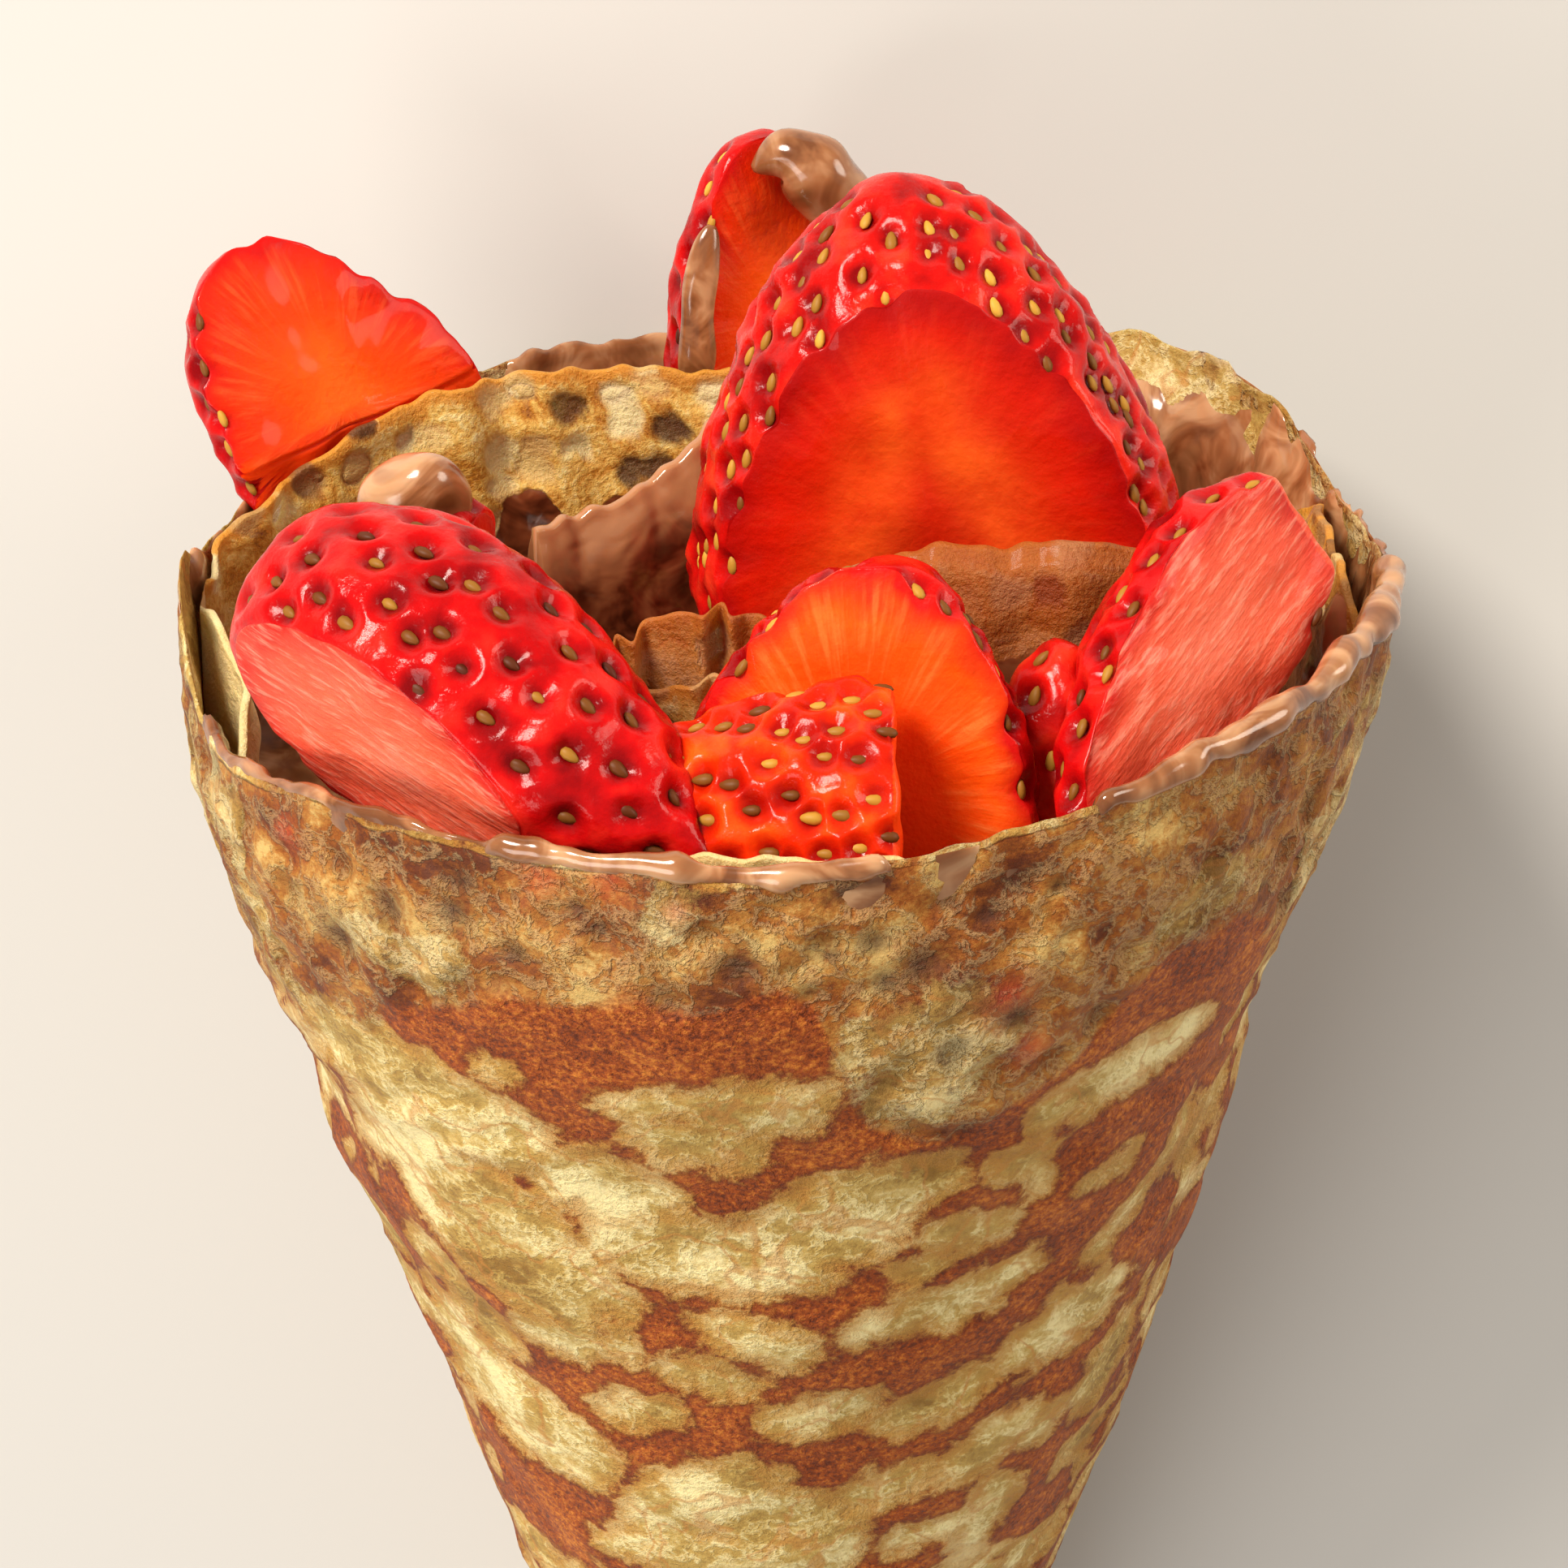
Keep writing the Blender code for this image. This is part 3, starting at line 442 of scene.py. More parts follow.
# mm outward, with the painted shade in the pits and how far the point is in the upper band
def wrapRelief(angle, up):
    a = np.radians(angle)
    radius = cone["taper"] * (cone["ringHeight"] + up)
    spotAt = np.stack([radius * np.sin(a), radius * np.cos(a), up + 0.02 * angle], -1)
    reach = a * wrap["bandRadius"]
    band = smoothStep(up - curveValue(bandEdge, angle, 360.0) + 1.3 * waves(spotAt, 8.0, 5), -2.0, 3.0)
    height = wrap["lumps"] * waves(spotAt, 26.0, 1) + wrap["dents"] * waves(spotAt, 9.0, 2)
    first, owner = cells(reach, up, 4.6, 4.2, 21)[::2]
    hollow = smoothStep(0.46 - first, 0.0, 0.3) * smoothStep(owner, 0.25, 0.6)
    small, smallOwner = cells(reach + 9, up, 2.1, 1.9, 31)[::2]
    hollow = np.maximum(hollow, 0.55 * smoothStep(0.42 - small, 0.0, 0.25) * smoothStep(smallOwner, 0.5, 0.8))
    hollow = hollow * (0.35 + 0.65 * smoothStep(0.5 + 0.7 * waves(spotAt, 18.0, 6), 0.2, 0.7))
    # painted shade: some of the hollows are darkened
    paintedPitShade = 0.45 * hollow * smoothStep(owner, 0.55, 0.9)
    for pitAngle, pitUp, pitRadius in pits:
        far = np.hypot(np.radians(angle - pitAngle) * wrap["bandRadius"], (up - pitUp) * 1.25) / pitRadius
        hollow = np.maximum(hollow, np.exp(-0.5 * far ** 2))
        paintedPitShade = np.maximum(paintedPitShade, np.exp(-0.7 * far ** 2))
    blush = np.zeros(up.shape)
    for spotAngle, spotUp, spotRadius in blushes:
        far = np.hypot(np.radians(angle - spotAngle) * wrap["bandRadius"], up - spotUp) / spotRadius
        blush = np.maximum(blush, np.exp(-far ** 2))
    height = height - wrap["pitDepth"] * hollow * band + 0.17 * band * waves(spotAt, 3.2, 7)
    waist = np.exp(-((up + 11.0) / 5.5) ** 2)
    sides = smoothStep(np.abs(angle), 12.0, 34.0) * smoothStep(-np.abs(angle), -140.0, -90.0)
    fold = np.sin((up * 1.5 + np.sign(angle) * reach * 0.55) + 1.4 * waves(spotAt, 12.0, 8))
    height = height + wrap["creases"] * waist * sides * np.abs(fold) ** 1.5 * np.sign(fold)
    lower = smoothStep(-up, 14.0, 30.0) * smoothStep(np.abs(angle), 30.0, 60.0)
    twist = np.sin(up * 0.62 - np.sign(angle) * reach * 0.42 + 1.5 * waves(spotAt, 20.0, 11))
    height = height + 0.22 * lower * np.maximum(twist, 0.0) ** 3
    return height, paintedPitShade * band, band, blush


# rows run from the tip up the outside, over the rim and down to the floor of the cup; columns follow the
# rolled sheet
def makeWrap():
    seam = cone["seamAngle"]
    left = np.arange(seam - 360.0, -100.0, wrap["coarseStep"])
    middle = np.arange(-100.0, 78.0, wrap["fineStep"])
    edge = np.array([78.5, 79.5, 80.5, 81.5, 82.5, 83.2, 83.7, 84.0, 84.0, 84.0, 84.0])
    angles = np.concatenate([left[left < -100.4], middle, edge])
    drop = np.zeros(len(angles))
    drop[-4:] = (0.0, 0.4, 0.8, 1.0)   # share of the step down from the free edge to the layer under it
    rim, wall = rimHeight(angles), wallThickness(angles)
    waist = -12.0 - 4.5 * np.sin(np.radians(angles)) ** 2
    rim = rim + 0.3 * waves(angles[:, None], 14.0, 41) + 0.14 * waves(angles[:, None], 4.5, 42)
    one = np.ones_like(angles)
    s = np.linspace(0, 1, wrap["rowsLow"])[:, None]
    start, lip = wrap["start"] - cone["ringHeight"], wrap["lip"]
    low = start + (waist - start) * s ** 0.92
    b = np.linspace(0, 1, wrap["rowsBand"] + 1)[1:, None]
    high = waist + (rim - lip - waist) * b
    up = np.concatenate([low, high])
    angleGrid = np.broadcast_to(angles, up.shape)
    heights, paintedPitShade, band, blush = wrapRelief(angleGrid, up)
    pale = paleDistance(angleGrid, up)
    step = cone["seamStep"] * np.minimum(1.0, (cone["ringHeight"] + up) / 60.0)
    fade = smoothStep(up, -cone["ringHeight"] + 14, -cone["ringHeight"] + 50)
    nearRim = smoothStep(rim - up, 0.0, 5.0)
    outer = wrapRadius(angleGrid, up) - step * drop
    outer = outer + fade * (heights * (0.35 + 0.65 * nearRim) - 0.18 * smoothStep(pale, -0.3, 0.7)
                            * (1 - band))
    thin = 0.5 + 0.5 * smoothStep(rim - up, 0.5, 8.0)            # the sheet is thinner at its edge
    outer = outer - wall * (1 - thin) * 0.35
    topOut = outer[-1]
    inUp = rim - lip - (rim + 6.0) * np.linspace(0, 1, wrap["rowsIn"])[:, None]
    inAngle = np.broadcast_to(angles, inUp.shape)
    inThin = 0.42 + 0.58 * smoothStep(rim - inUp, 0.5, 9.0)
    spotIn = np.stack([inAngle * 0.75, inUp, 0 * inUp], -1)
    lumps = 0.15 * waves(spotIn, 6.0, 12) * smoothStep(rim - inUp, 0.5, 3.0)
    inner = sheetRadius(inAngle, inUp) - wall * inThin - 0.15 + lumps
    turn = np.linspace(0, pi, 7)[1:-1, None]
    middleR, halfR = 0.5 * (topOut + inner[0]), 0.5 * (topOut - inner[0])
    capR, capUp = middleR + halfR * np.cos(turn), rim - lip + np.sin(turn) * lip
    noseR = np.array([[0.9], [1.7], [2.5], [3.0]]) * one
    noseUp = np.array([[5.5], [6.4], [8.2], [9.6]]) * one - cone["ringHeight"]
    footR = (inner[-1] - 2.0)[None] * np.array([[1.0], [0.5]])
    footUp = np.full((2, len(angles)), -cone["cupDepth"])
    radius = np.concatenate([noseR, outer, capR, inner, footR])
    height = np.concatenate([noseUp, up, capUp, inUp, footUp])
    grid = place(radius * np.sin(np.radians(angles)), radius * np.cos(np.radians(angles)), height)
    grid[..., 2] = np.maximum(grid[..., 2], 0.0)                    # pressed flat where it lies
    insideRows = len(capR) + len(inner) + len(footR)

    # from the rows of the outside to all rows: the first one again at the tip, one value inside
    def extend(values, inside):
        return np.concatenate([np.broadcast_to(values[0], (4, len(angles))), values,
                               np.full((insideRows, len(angles)), inside)])

    innerPale = paleDistance(inAngle + 31.0, inUp - 60.0)
    paleAll = extend(pale, 0.0)
    paleAll[-len(inner) - len(footR):-len(footR)] = innerPale
    bandAll = extend(band, 0.6)
    # painted light: the inside is made pale, its bubble colour without the band, at the right of the back
    # rim, which is lit from behind, and at the left pleats
    bare = smoothStep(angles, 116, 124) * smoothStep(-angles, -166, -158)
    bare = np.maximum(bare, smoothStep(angles + 360, 116, 124) * smoothStep(-angles - 360, -166, -158))
    bare = np.maximum(bare, smoothStep(angles, -114, -104) * smoothStep(-angles, 52, 62))
    bandAll[len(up) + 4:] *= 1 - bare
    paleAll[len(up) + 4:] += 3.0 * bare
    marks = {"pale": paleAll, "band": bandAll, "pitShade": extend(paintedPitShade, 0.0), "blush": extend(blush, 0.0)}
    return loft("crepe_wrap", grid, crepeOuter, marks)


print("materials and the rolled crepe")
crepeOuter = crepeMaterial("griddled crepe", crepeLooks)
settle(makeWrap(), "crepe", "crepe")

# The inner side of the crepe, seen in the mouth: golden where it is thin, browned at its torn edges, with
# round bubbles and with chocolate spread on it, which is glossy
foldLooks = {
    "base": ("#7a3c0a", "#bd7c1e", "#dfb258", "#f2de9c"),
    "edge": "#cf8a2c",
    "cream": "#f3e0a2",
    "toast": "#9a3f0c",
    # lit: painted light near the upper edge of the chocolate
    "lit": "#bb8358",
    "bubbles": ("#ead7a0", "#d3ab68", "#8f5c30", "#4f2f1c"),
    # the chocolate's dark shades are partly painted shade, where it lies deep
    "chocolate": ("#421b0c", "#70371e", "#905634"),
    "grainSize": 0.6,       # mm
    "laceSize": 5.0,
    "coatEdgeSize": 2.2,
    "coatLumpSize": 3.2,
    "coatPatchSize": 5.0,
}


# golden by a lacy noise, with its edge, bubbles and toasted parts mixed over it, then chocolate where it lies
def foldMaterial(name, looks):
    material, shader, add = newMaterial(name, Subsurface_Weight=0.2, Subsurface_Scale=0.003, IOR=1.4,
                                        Subsurface_Radius=(1.0, 0.6, 0.25), Coat_Roughness=0.1)
    spot = add("where")
    toEdge, hollow, bubble, toast, cream, coated = (
        add("attribute", attribute_name=key)
        for key in ("toEdge", "hollow", "bubble", "toast", "cream", "chocolate"))
    fine = add("noise", spot, 1000 / looks["grainSize"], 4.0, 0.7)
    lace = add("MULTIPLY_ADD", add("noise", spot, 1000 / looks["laceSize"], 4.0, 0.65, 0.8), 0.75,
               add("MULTIPLY", fine, 0.3))
    colour = add("shades", lace, stops=zip((0.36, 0.46, 0.56, 0.68), looks["base"]))
    ragged = add("MULTIPLY_ADD", add("SUBTRACT", fine, 0.5), 2.2, toEdge)
    colour = add("mix", add("SUBTRACT", 1.0, add("ease", ragged, 0.3, 1.5)), colour, looks["edge"])
    inBubble = add("shades", bubble, stops=zip((0.5, 0.62, 0.8, 0.92), looks["bubbles"]))
    colour = add("mix", add("MULTIPLY", hollow, 0.9), colour, inBubble)
    toasted = add("MULTIPLY", toast, add("MULTIPLY_ADD", lace, 0.6, 0.5))
    colour = add("mix", toasted, colour, looks["toast"])
    colour = add("mix", cream, colour, looks["cream"])
    # chocolate: painted shade, dark in the depth, and painted light near the upper edge
    edgeNoise = add("SUBTRACT", add("noise", spot, 1000 / looks["coatEdgeSize"], 3.0, 0.55), 0.5)
    coated = add("ease", add("MULTIPLY_ADD", edgeNoise, 0.9, coated), 0.42, 0.58)
    dip = add("shades", add("noise", spot, 1000 / looks["coatPatchSize"], 3.0, 0.6, 0.8),
              stops=zip((0.38, 0.5, 0.62), looks["chocolate"]))
    # painted light: lighter near the upper edge
    lit = add("MULTIPLY", add("SUBTRACT", 1.0, add("ease", toEdge, 0.6, 6.5)), 0.85)
    dip = add("mix", lit, dip, looks["lit"])
    bare = add("SUBTRACT", 1.0, coated)
    height = add("MULTIPLY", bare, add("MULTIPLY_ADD", fine, 0.3, add("MULTIPLY", lace, 0.4)))
    lumps = add("MULTIPLY", coated, add("noise", spot, 1000 / looks["coatLumpSize"], 1.0, 0.4, 0.5))
    connect(shader, Base_Color=add("mix", coated, colour, dip),
            Roughness=add("range", coated, 0.0, 1.0, 0.5, 0.1),
            Coat_Weight=add("MULTIPLY_ADD", coated, 0.45, 0.05),
            Normal=add("bump", add("MULTIPLY_ADD", lumps, 0.6, height), mm))
    return material


foldRows = 44   # rows of points on each side of a fold
foldPieces = {
    "inner_layer": {
        "points": [(-46.7, 2.0, 16.5), (-45.2, -5.0, 17.9), (-41.1, -13.0, 19.9), (-37.4, -17.0, 21.4),
                   (-32.4, -21.0, 23.2), (-24.6, -25.0, 24.5), (-13.9, -27.5, 24.5), (-4.1, -28.0, 23.9),
                   (8.0, -27.0, 22.5)],
        "bottom": -1.0, "stations": 230, "bubbles": 0.5, "coat": 11.0},
    "coated_fold": {
        "points": [(-19.8, -3.6, 20.6), (-17.1, -5.0, 21.0), (-13.3, -7.0, 21.7), (-9.4, -9.0, 23.5),
                   (-5.6, -12.0, 26.0), (-3.0, -17.5, 25.0)],
        "bottom": -1.0, "thickness": 2.6, "stations": 90, "bubbles": 0.1, "coat": -2.0},
    "ruffled_edge": {
        "points": [(-18.0, 13.5, 15.4), (-15.2, 11.0, 17.5), (-12.8, 10.0, 17.7), (-7.2, 9.0, 19.3),
                   (-2.0, 9.6, 19.4), (3.6, 10.1, 20.5)],
        "bottom": -1.0, "ruffle": 1.1, "stations": 130, "bubbles": 0.6, "coat": 6.0, "toast": 0.9},
    "lower_ruffle": {
        "points": [(-19.0, 17.0, 12.0), (-15.5, 15.2, 14.2), (-11.0, 13.6, 14.6), (-6.0, 13.0, 15.6),
                   (-1.5, 13.4, 15.4), (2.4, 14.4, 13.6)],
        "bottom": -1.0, "ruffle": 0.9, "stations": 120, "bubbles": 0.8, "coat": 4.5, "toast": 0.6},
    "rolled_fold": {
        "points": [(0.8, 9.1, 21.5), (8.2, 9.8, 24.6), (17.4, 10.2, 25.7), (25.9, 9.6, 25.2),
                   (30.5, 7.0, 23.0)],
        "bottom": -1.0, "thickness": 5.0, "stations": 110, "bubbles": 0.25, "coat": 9.0, "toast": 0.95},
    # its cream colour is partly the pleat's own pale colour, partly painted light where it lies in shade
    "left_pleat": {
        "points": [(-46.6, -1.0, 17.0), (-45.0, 4.0, 17.2), (-42.4, 8.5, 16.2), (-41.0, 12.5, 15.2),
                   (-40.8, 17.0, 13.8), (-41.0, 21.5, 12.0)],
        "bottom": 5.2, "stations": 90, "bubbles": 0.2, "coat": 14.0, "cream": 0.75},
    "right_layer": {
        "points": [(44.6, 13.0, 17.0), (43.6, 6.0, 19.3), (43.2, -2.0, 20.0), (43.0, -9.0, 19.6),
                   (42.8, -18.0, 16.5)],
        "bottom": 5.2, "stations": 110, "bubbles": 0.3, "coat": 2.0},
    "front_layer": {
        "points": [(-14.0, 44.2, 13.0), (-8.0, 43.6, 16.8), (0.0, 43.9, 17.3), (7.0, 43.4, 17.0),
                   (13.0, 42.2, 15.2), (18.6, 40.2, 16.8), (24.5, 38.3, 14.0)],
        "bottom": 5.2, "stations": 120, "bubbles": 0.15, "coat": 14.0, "cream": 0.6},
}


# a standing sheet: at each station of its path a loop goes up one side, over the edge and down the other
def makeFold(name, shape, seed):
    path = smoothPath(shape["points"], shape["stations"])
    right, front, edge = path[:, :1], path[:, 1:2], path[:, 2:]
    wayRight, wayFront = np.gradient(path[:, 0])[:, None], np.gradient(path[:, 1])[:, None]
    step = np.hypot(wayRight, wayFront)
    run = np.cumsum(step)[:, None]
    acrossRight, acrossFront = -wayFront / step, wayRight / step
    edge = edge + (0.4 * waves(run, 11.0, seed) + 0.16 * waves(run, 2.9, seed + 1))[:, None]
    v = np.concatenate([np.linspace(0, 1, foldRows), np.ones(5), np.linspace(1, 0, foldRows)])[None]
    lie = np.concatenate([np.zeros(foldRows), np.linspace(0, pi, 7)[1:-1], np.full(foldRows, pi)])[None]
    up = shape["bottom"] + (edge - shape["bottom"]) * v
    deep = edge - up
    halfThick = 0.5 * shape.get("thickness", 1.6) * (0.4 + 0.6 * smoothStep(deep, 0.2, 5.0))
    if shape.get("thickness", 0) >= 5.0:
        halfThick = 2.5 * np.sqrt(np.clip(1 - (1 - np.clip(deep, 0.0, 2.5) / 2.5) ** 2, 0.05, 1))
    up = up + 0.5 * np.minimum(halfThick, 1.0) * np.sin(lie)
    at = np.concatenate([np.broadcast_to(run[..., None], up.shape + (1,)), up[..., None]], -1)
    warp = 0.4 * waves(at, 4.0, seed + 9)
    first, owner = cells(run + warp + 50 * seed, up + 0.35 * waves(at, 4.4, seed + 10), 3.9, 3.5, seed)[::2]
    hollow = smoothStep(0.46 - first, 0.0, 0.16) * smoothStep(owner, 0.2, 0.4)
    coat = smoothStep(deep - shape["coat"] + 2.0 * waves(at, 9.0, seed + 3) + 0.5 * waves(at, 3.5, seed + 4),
                      -1.6, 1.6)
    bulge = ((0.25 - 0.1 * coat) * waves(at, 6.5, seed + 5) - shape["bubbles"] * hollow * (1 - coat)
             + 0.35 * coat)
    ruffle = np.sin(2.4 * run / 1.45 + 1.5 * waves(run, 9.0, seed + 8)[:, None])
    wave = shape.get("ruffle", 0.0) * v * ruffle + 0.5 * v * waves(run, 8.0, seed + 6)[:, None]
    offset = np.cos(lie) * (halfThick + bulge * np.abs(np.cos(lie)) * smoothStep(deep, 0.0, 2.0)) + wave
    angle = np.degrees(np.arctan2(right, front))
    lean = sheetRadius(angle, up) / sheetRadius(angle, edge)
    r, f = (right + acrossRight * offset) * lean, (front + acrossFront * offset) * lean
    r, f = pressIn(r, f, up)
    marks = {"toEdge": np.broadcast_to(deep, up.shape), "hollow": hollow * (1 - coat), "bubble": owner,
             "chocolate": coat,
             "toast": np.full(up.shape, shape.get("toast", 0.0)),
             "cream": np.full(up.shape, shape.get("cream", 0.0))}
    return loft(name, place(r, f, up), crepeInner, marks)


def pressIn(right, front, up, clear=0.25):  # below the rim nothing goes past the inside of the wall
    radius, angle = np.hypot(right, front), np.degrees(np.arctan2(right, front))
    free = 30.0 * smoothStep(up - rimHeight(angle), -0.5, 4.0)
    limit = sheetRadius(angle, up) - wallThickness(angle) - clear + free
    scale = np.minimum(radius, limit) / np.maximum(radius, 1e-6)
    return right * scale, front * scale


crepeInner = foldMaterial("thin crepe, inner side", foldLooks)
print("folds of the inner layers")
for index, (name, shape) in enumerate(foldPieces.items()):
    settle(makeFold(name, shape, 60 + 10 * index), "crepe")

# Chocolate hazelnut spread: warm milky brown, opaque and glossy, in patches of darker and lighter brown
spreadLooks = {
    "shades": ("#714223", "#98633d", "#c29268"),
    "roughness": (0.1, 0.26),
    "streakSize": 6.0,      # mm
    "glossSize": 9.0,
    "lumpSize": 3.5,
}
# where it lies on the wall: start and end angle, start and end in mm over the rim to the inside, thickness,
# wobble
crepeSmears = [
    (66, 122, 0.9, 13.0, 0.45, 1.2), (120, 166, 4.5, 13.0, 0.45, 1.0), (-200, -150, -0.6, 9.0, 0.6, 0.9),
    (-26, 9, -1.1, 2.6, 1.1, 0.25), (-70, -24, -0.6, 4.4, 0.75, 0.4), (27, 86, -1.8, 6.0, 0.95, 0.5),
    (-118, -92, 0.2, 6.0, 0.5, 0.8),
]


# colour, gloss and relief each follow a noise of their own
def spreadMaterial(name, looks):
    material, shader, add = newMaterial(name, Subsurface_Weight=0.12, Subsurface_Scale=0.002, IOR=1.48,
                                        Coat_Weight=0.3, Coat_Roughness=0.08)
    spot = add("where")
    colour = add("shades", add("noise", spot, 1000 / looks["streakSize"], 3.0, 0.5, 1.5),
                 stops=zip((0.36, 0.5, 0.66), looks["shades"]))
    gloss = add("noise", spot, 1000 / looks["glossSize"], 2.0, 0.55)
    height = add("MULTIPLY", add("noise", spot, 1000 / looks["lumpSize"], 1.0, 0.4), 0.42)
    connect(shader, Base_Color=colour, Roughness=add("range", gloss, 0.3, 0.7, *looks["roughness"]),
            Normal=add("bump", height, mm))
    return material


# a disc whose level is a sum of swirls, closed by its side and underside, where it meets the cup
def makePool():
    s = np.linspace(0.015, 1, 90)[:, None]
    angles = np.linspace(-180, 180, 240, endpoint=False)
    wall = wallThickness(angles) + 0.45
    high = 3.0
    radius = (sheetRadius(angles, high) - wall) * s
    r, f = radius * np.sin(np.radians(angles)), radius * np.cos(np.radians(angles))
    at = np.stack([r, f], -1)
    swirl = np.sin(0.45 * radius + np.radians(angles) * 2 + 1.2 * waves(at, 16.0, 81))
    broad = 0.7 * np.sin(0.21 * r + 1.0) * np.cos(0.17 * f)
    level = high + (broad + 0.5 * swirl + 0.5 * waves(at, 11.0, 82)) * (1 - s ** 4)
    shoulder, foot = sheetRadius(angles, -2.0) - wall, sheetRadius(angles, 2.0 - cone["cupDepth"]) - wall
    under = np.stack([shoulder, foot - 0.2, foot - 2.4, 0.5 * foot])
    underUp = np.array([[-2.0], [-6.4], [-8.7], [-8.7]]) + 0 * under
    radius, level = np.concatenate([radius, under]), np.concatenate([level, underUp])
    a = np.radians(angles)
    return loft("chocolate_pool", place(radius * np.sin(a), radius * np.cos(a), level), chocolate)


# a skin round the rim: outside, over the edge and inside, thick where a smear lies and under the crepe
# elsewhere
def makeSmears():
    edgeHalf, edgeUp, perDegree = 1.4, 0.9, 0.8   # mm: half width and height of the edge, length of a degree
    angles = np.linspace(-180, 180, 640, endpoint=False)[:, None]
    along = np.concatenate([np.linspace(-5.0, -1.5, 10), np.linspace(-1.3, 1.3, 13),
                            np.linspace(1.6, 16.0, 44)])[None]
    rim = rimHeight(angles) + 0 * along
    lie = pi / 2 * (1 + np.clip(along / edgeHalf, -1, 1))
    deep = np.maximum(np.abs(along) - edgeHalf, 0)
    up = rim - edgeUp - deep
    wall = wallThickness(angles)
    thin = 0.5 + 0.5 * smoothStep(rim - up, 0.5, 8.0)
    outer = wrapRadius(angles + 0 * up, up) - wall * (1 - thin) * 0.35
    inner = sheetRadius(angles + 0 * up, up) - wall * (0.42 + 0.58 * smoothStep(rim - up, 0.5, 9.0)) - 0.15
    middle, half = 0.5 * (outer + inner), 0.5 * (outer - inner)
    at = np.stack([angles * perDegree + 0 * up, along + 0 * up], -1)
    coat = np.full(up.shape, -1.0)
    for start, end, low, high, thick, wobble in crepeSmears:
        offset = (angles - start) % 360.0
        span = (end - start) % 360.0
        inAngle = np.minimum(offset, span - offset) * perDegree + 1.6 * wobble * waves(at, 9.0, 91)
        edge = wobble * waves(at, 7.0, 92) + 0.5 * wobble * waves(at, 2.8, 93)
        inAlong = np.minimum(along - low, high - along) + edge
        inside = np.minimum(np.where(offset > span + 60, -9, inAngle), inAlong)
        lumpy = 1.0 + 0.4 * waves(at, 9.0, 94) + 0.12 * waves(at, 3.5, 95)
        coat = np.maximum(coat, np.where(inside > 0, thick * lumpy * smoothStep(inside, 0, 1.6) ** 0.5, -1.0))
    radius = np.where(coat > 0, middle + (half + coat) * np.cos(lie), inner + 0.2 + 0.06 * np.cos(lie))
    height = up + (edgeUp + np.where(coat > 0, coat, -0.4)) * np.sin(lie)
    core = inner[:, ::-4] + 0.2
    radius, height = np.concatenate([radius, core], 1), np.concatenate([height, up[:, ::-4] - 0.3], 1)
    a = np.radians(angles)
    grid = place(radius * np.sin(a), radius * np.cos(a), height)
    grid[..., 2] = np.maximum(grid[..., 2], 0.0)   # the rim rests on the floor
    return loft("chocolate_smears", grid, chocolate, wrapRows=True)


# a tube along a path, its radius a smooth curve, with slow lumps
def makeDrop(name, points, radii, flat=1.0, seed=1, around=40, stations=46):
    path = smoothPath(points, stations)
    steps = np.linspace(0, len(radii) - 1, stations)
    size = curveValue(list(enumerate(radii)), steps)[:, None]
    ends = np.sin(np.linspace(0.04, pi - 0.04, stations))[:, None] ** 0.5
    way = np.gradient(path, axis=0)
    way /= np.linalg.norm(way, axis=1, keepdims=True)
    sideWay = np.cross(way, [0.0, 1.0, 0.0])
    sideWay /= np.maximum(np.linalg.norm(sideWay, axis=1, keepdims=True), 1e-6)
    out = np.cross(sideWay, way)
    a = np.linspace(0, 2 * pi, around, endpoint=False)
    ring = np.cos(a)[:, None] * sideWay[:, None] + flat * np.sin(a)[:, None] * out[:, None]
    centre = path[:, None]
    grid = centre + (size * ends)[..., None] * ring
    grid = centre + (grid - centre) * (1 + 0.1 * waves(grid, 6.0, seed))[..., None]
    return loft(name, place(grid[..., 0], grid[..., 1], grid[..., 2]), chocolate)


print("chocolate spread")
chocolate = spreadMaterial("chocolate hazelnut spread", spreadLooks)
settle(makePool(), "chocolate_spread", "chocolate_spread")
settle(makeSmears(), "chocolate_spread")
settle(makeDrop("chocolate_back_cap", [(-2.6, -34.5, 39.6), (0.2, -34.4, 40.6), (3.2, -34.8, 38.6),
                                       (5.4, -35.6, 34.4), (6.0, -36.4, 31.0)],
                [1.9, 2.9, 3.2, 2.6, 1.2], 0.95, 5), "chocolate_spread")
settle(makeDrop("chocolate_small_cap", [(-32.0, 1.2, 21.6), (-30.4, 2.0, 25.4), (-28.2, 2.6, 26.8),
                                        (-26.0, 2.6, 26.0), (-25.0, 2.4, 23.6)],
                [1.8, 3.0, 3.5, 2.8, 1.4], 0.9, 6), "chocolate_spread")
settle(makeDrop("chocolate_drip", [(-6.0, -32.3, 35.4), (-6.8, -31.6, 32.2), (-7.2, -31.0, 28.0),
                                   (-7.4, -30.2, 23.6), (-7.8, -29.6, 18.0)],
                [1.6, 1.7, 1.4, 1.7, 1.9], 0.7, 7), "chocolate_spread")

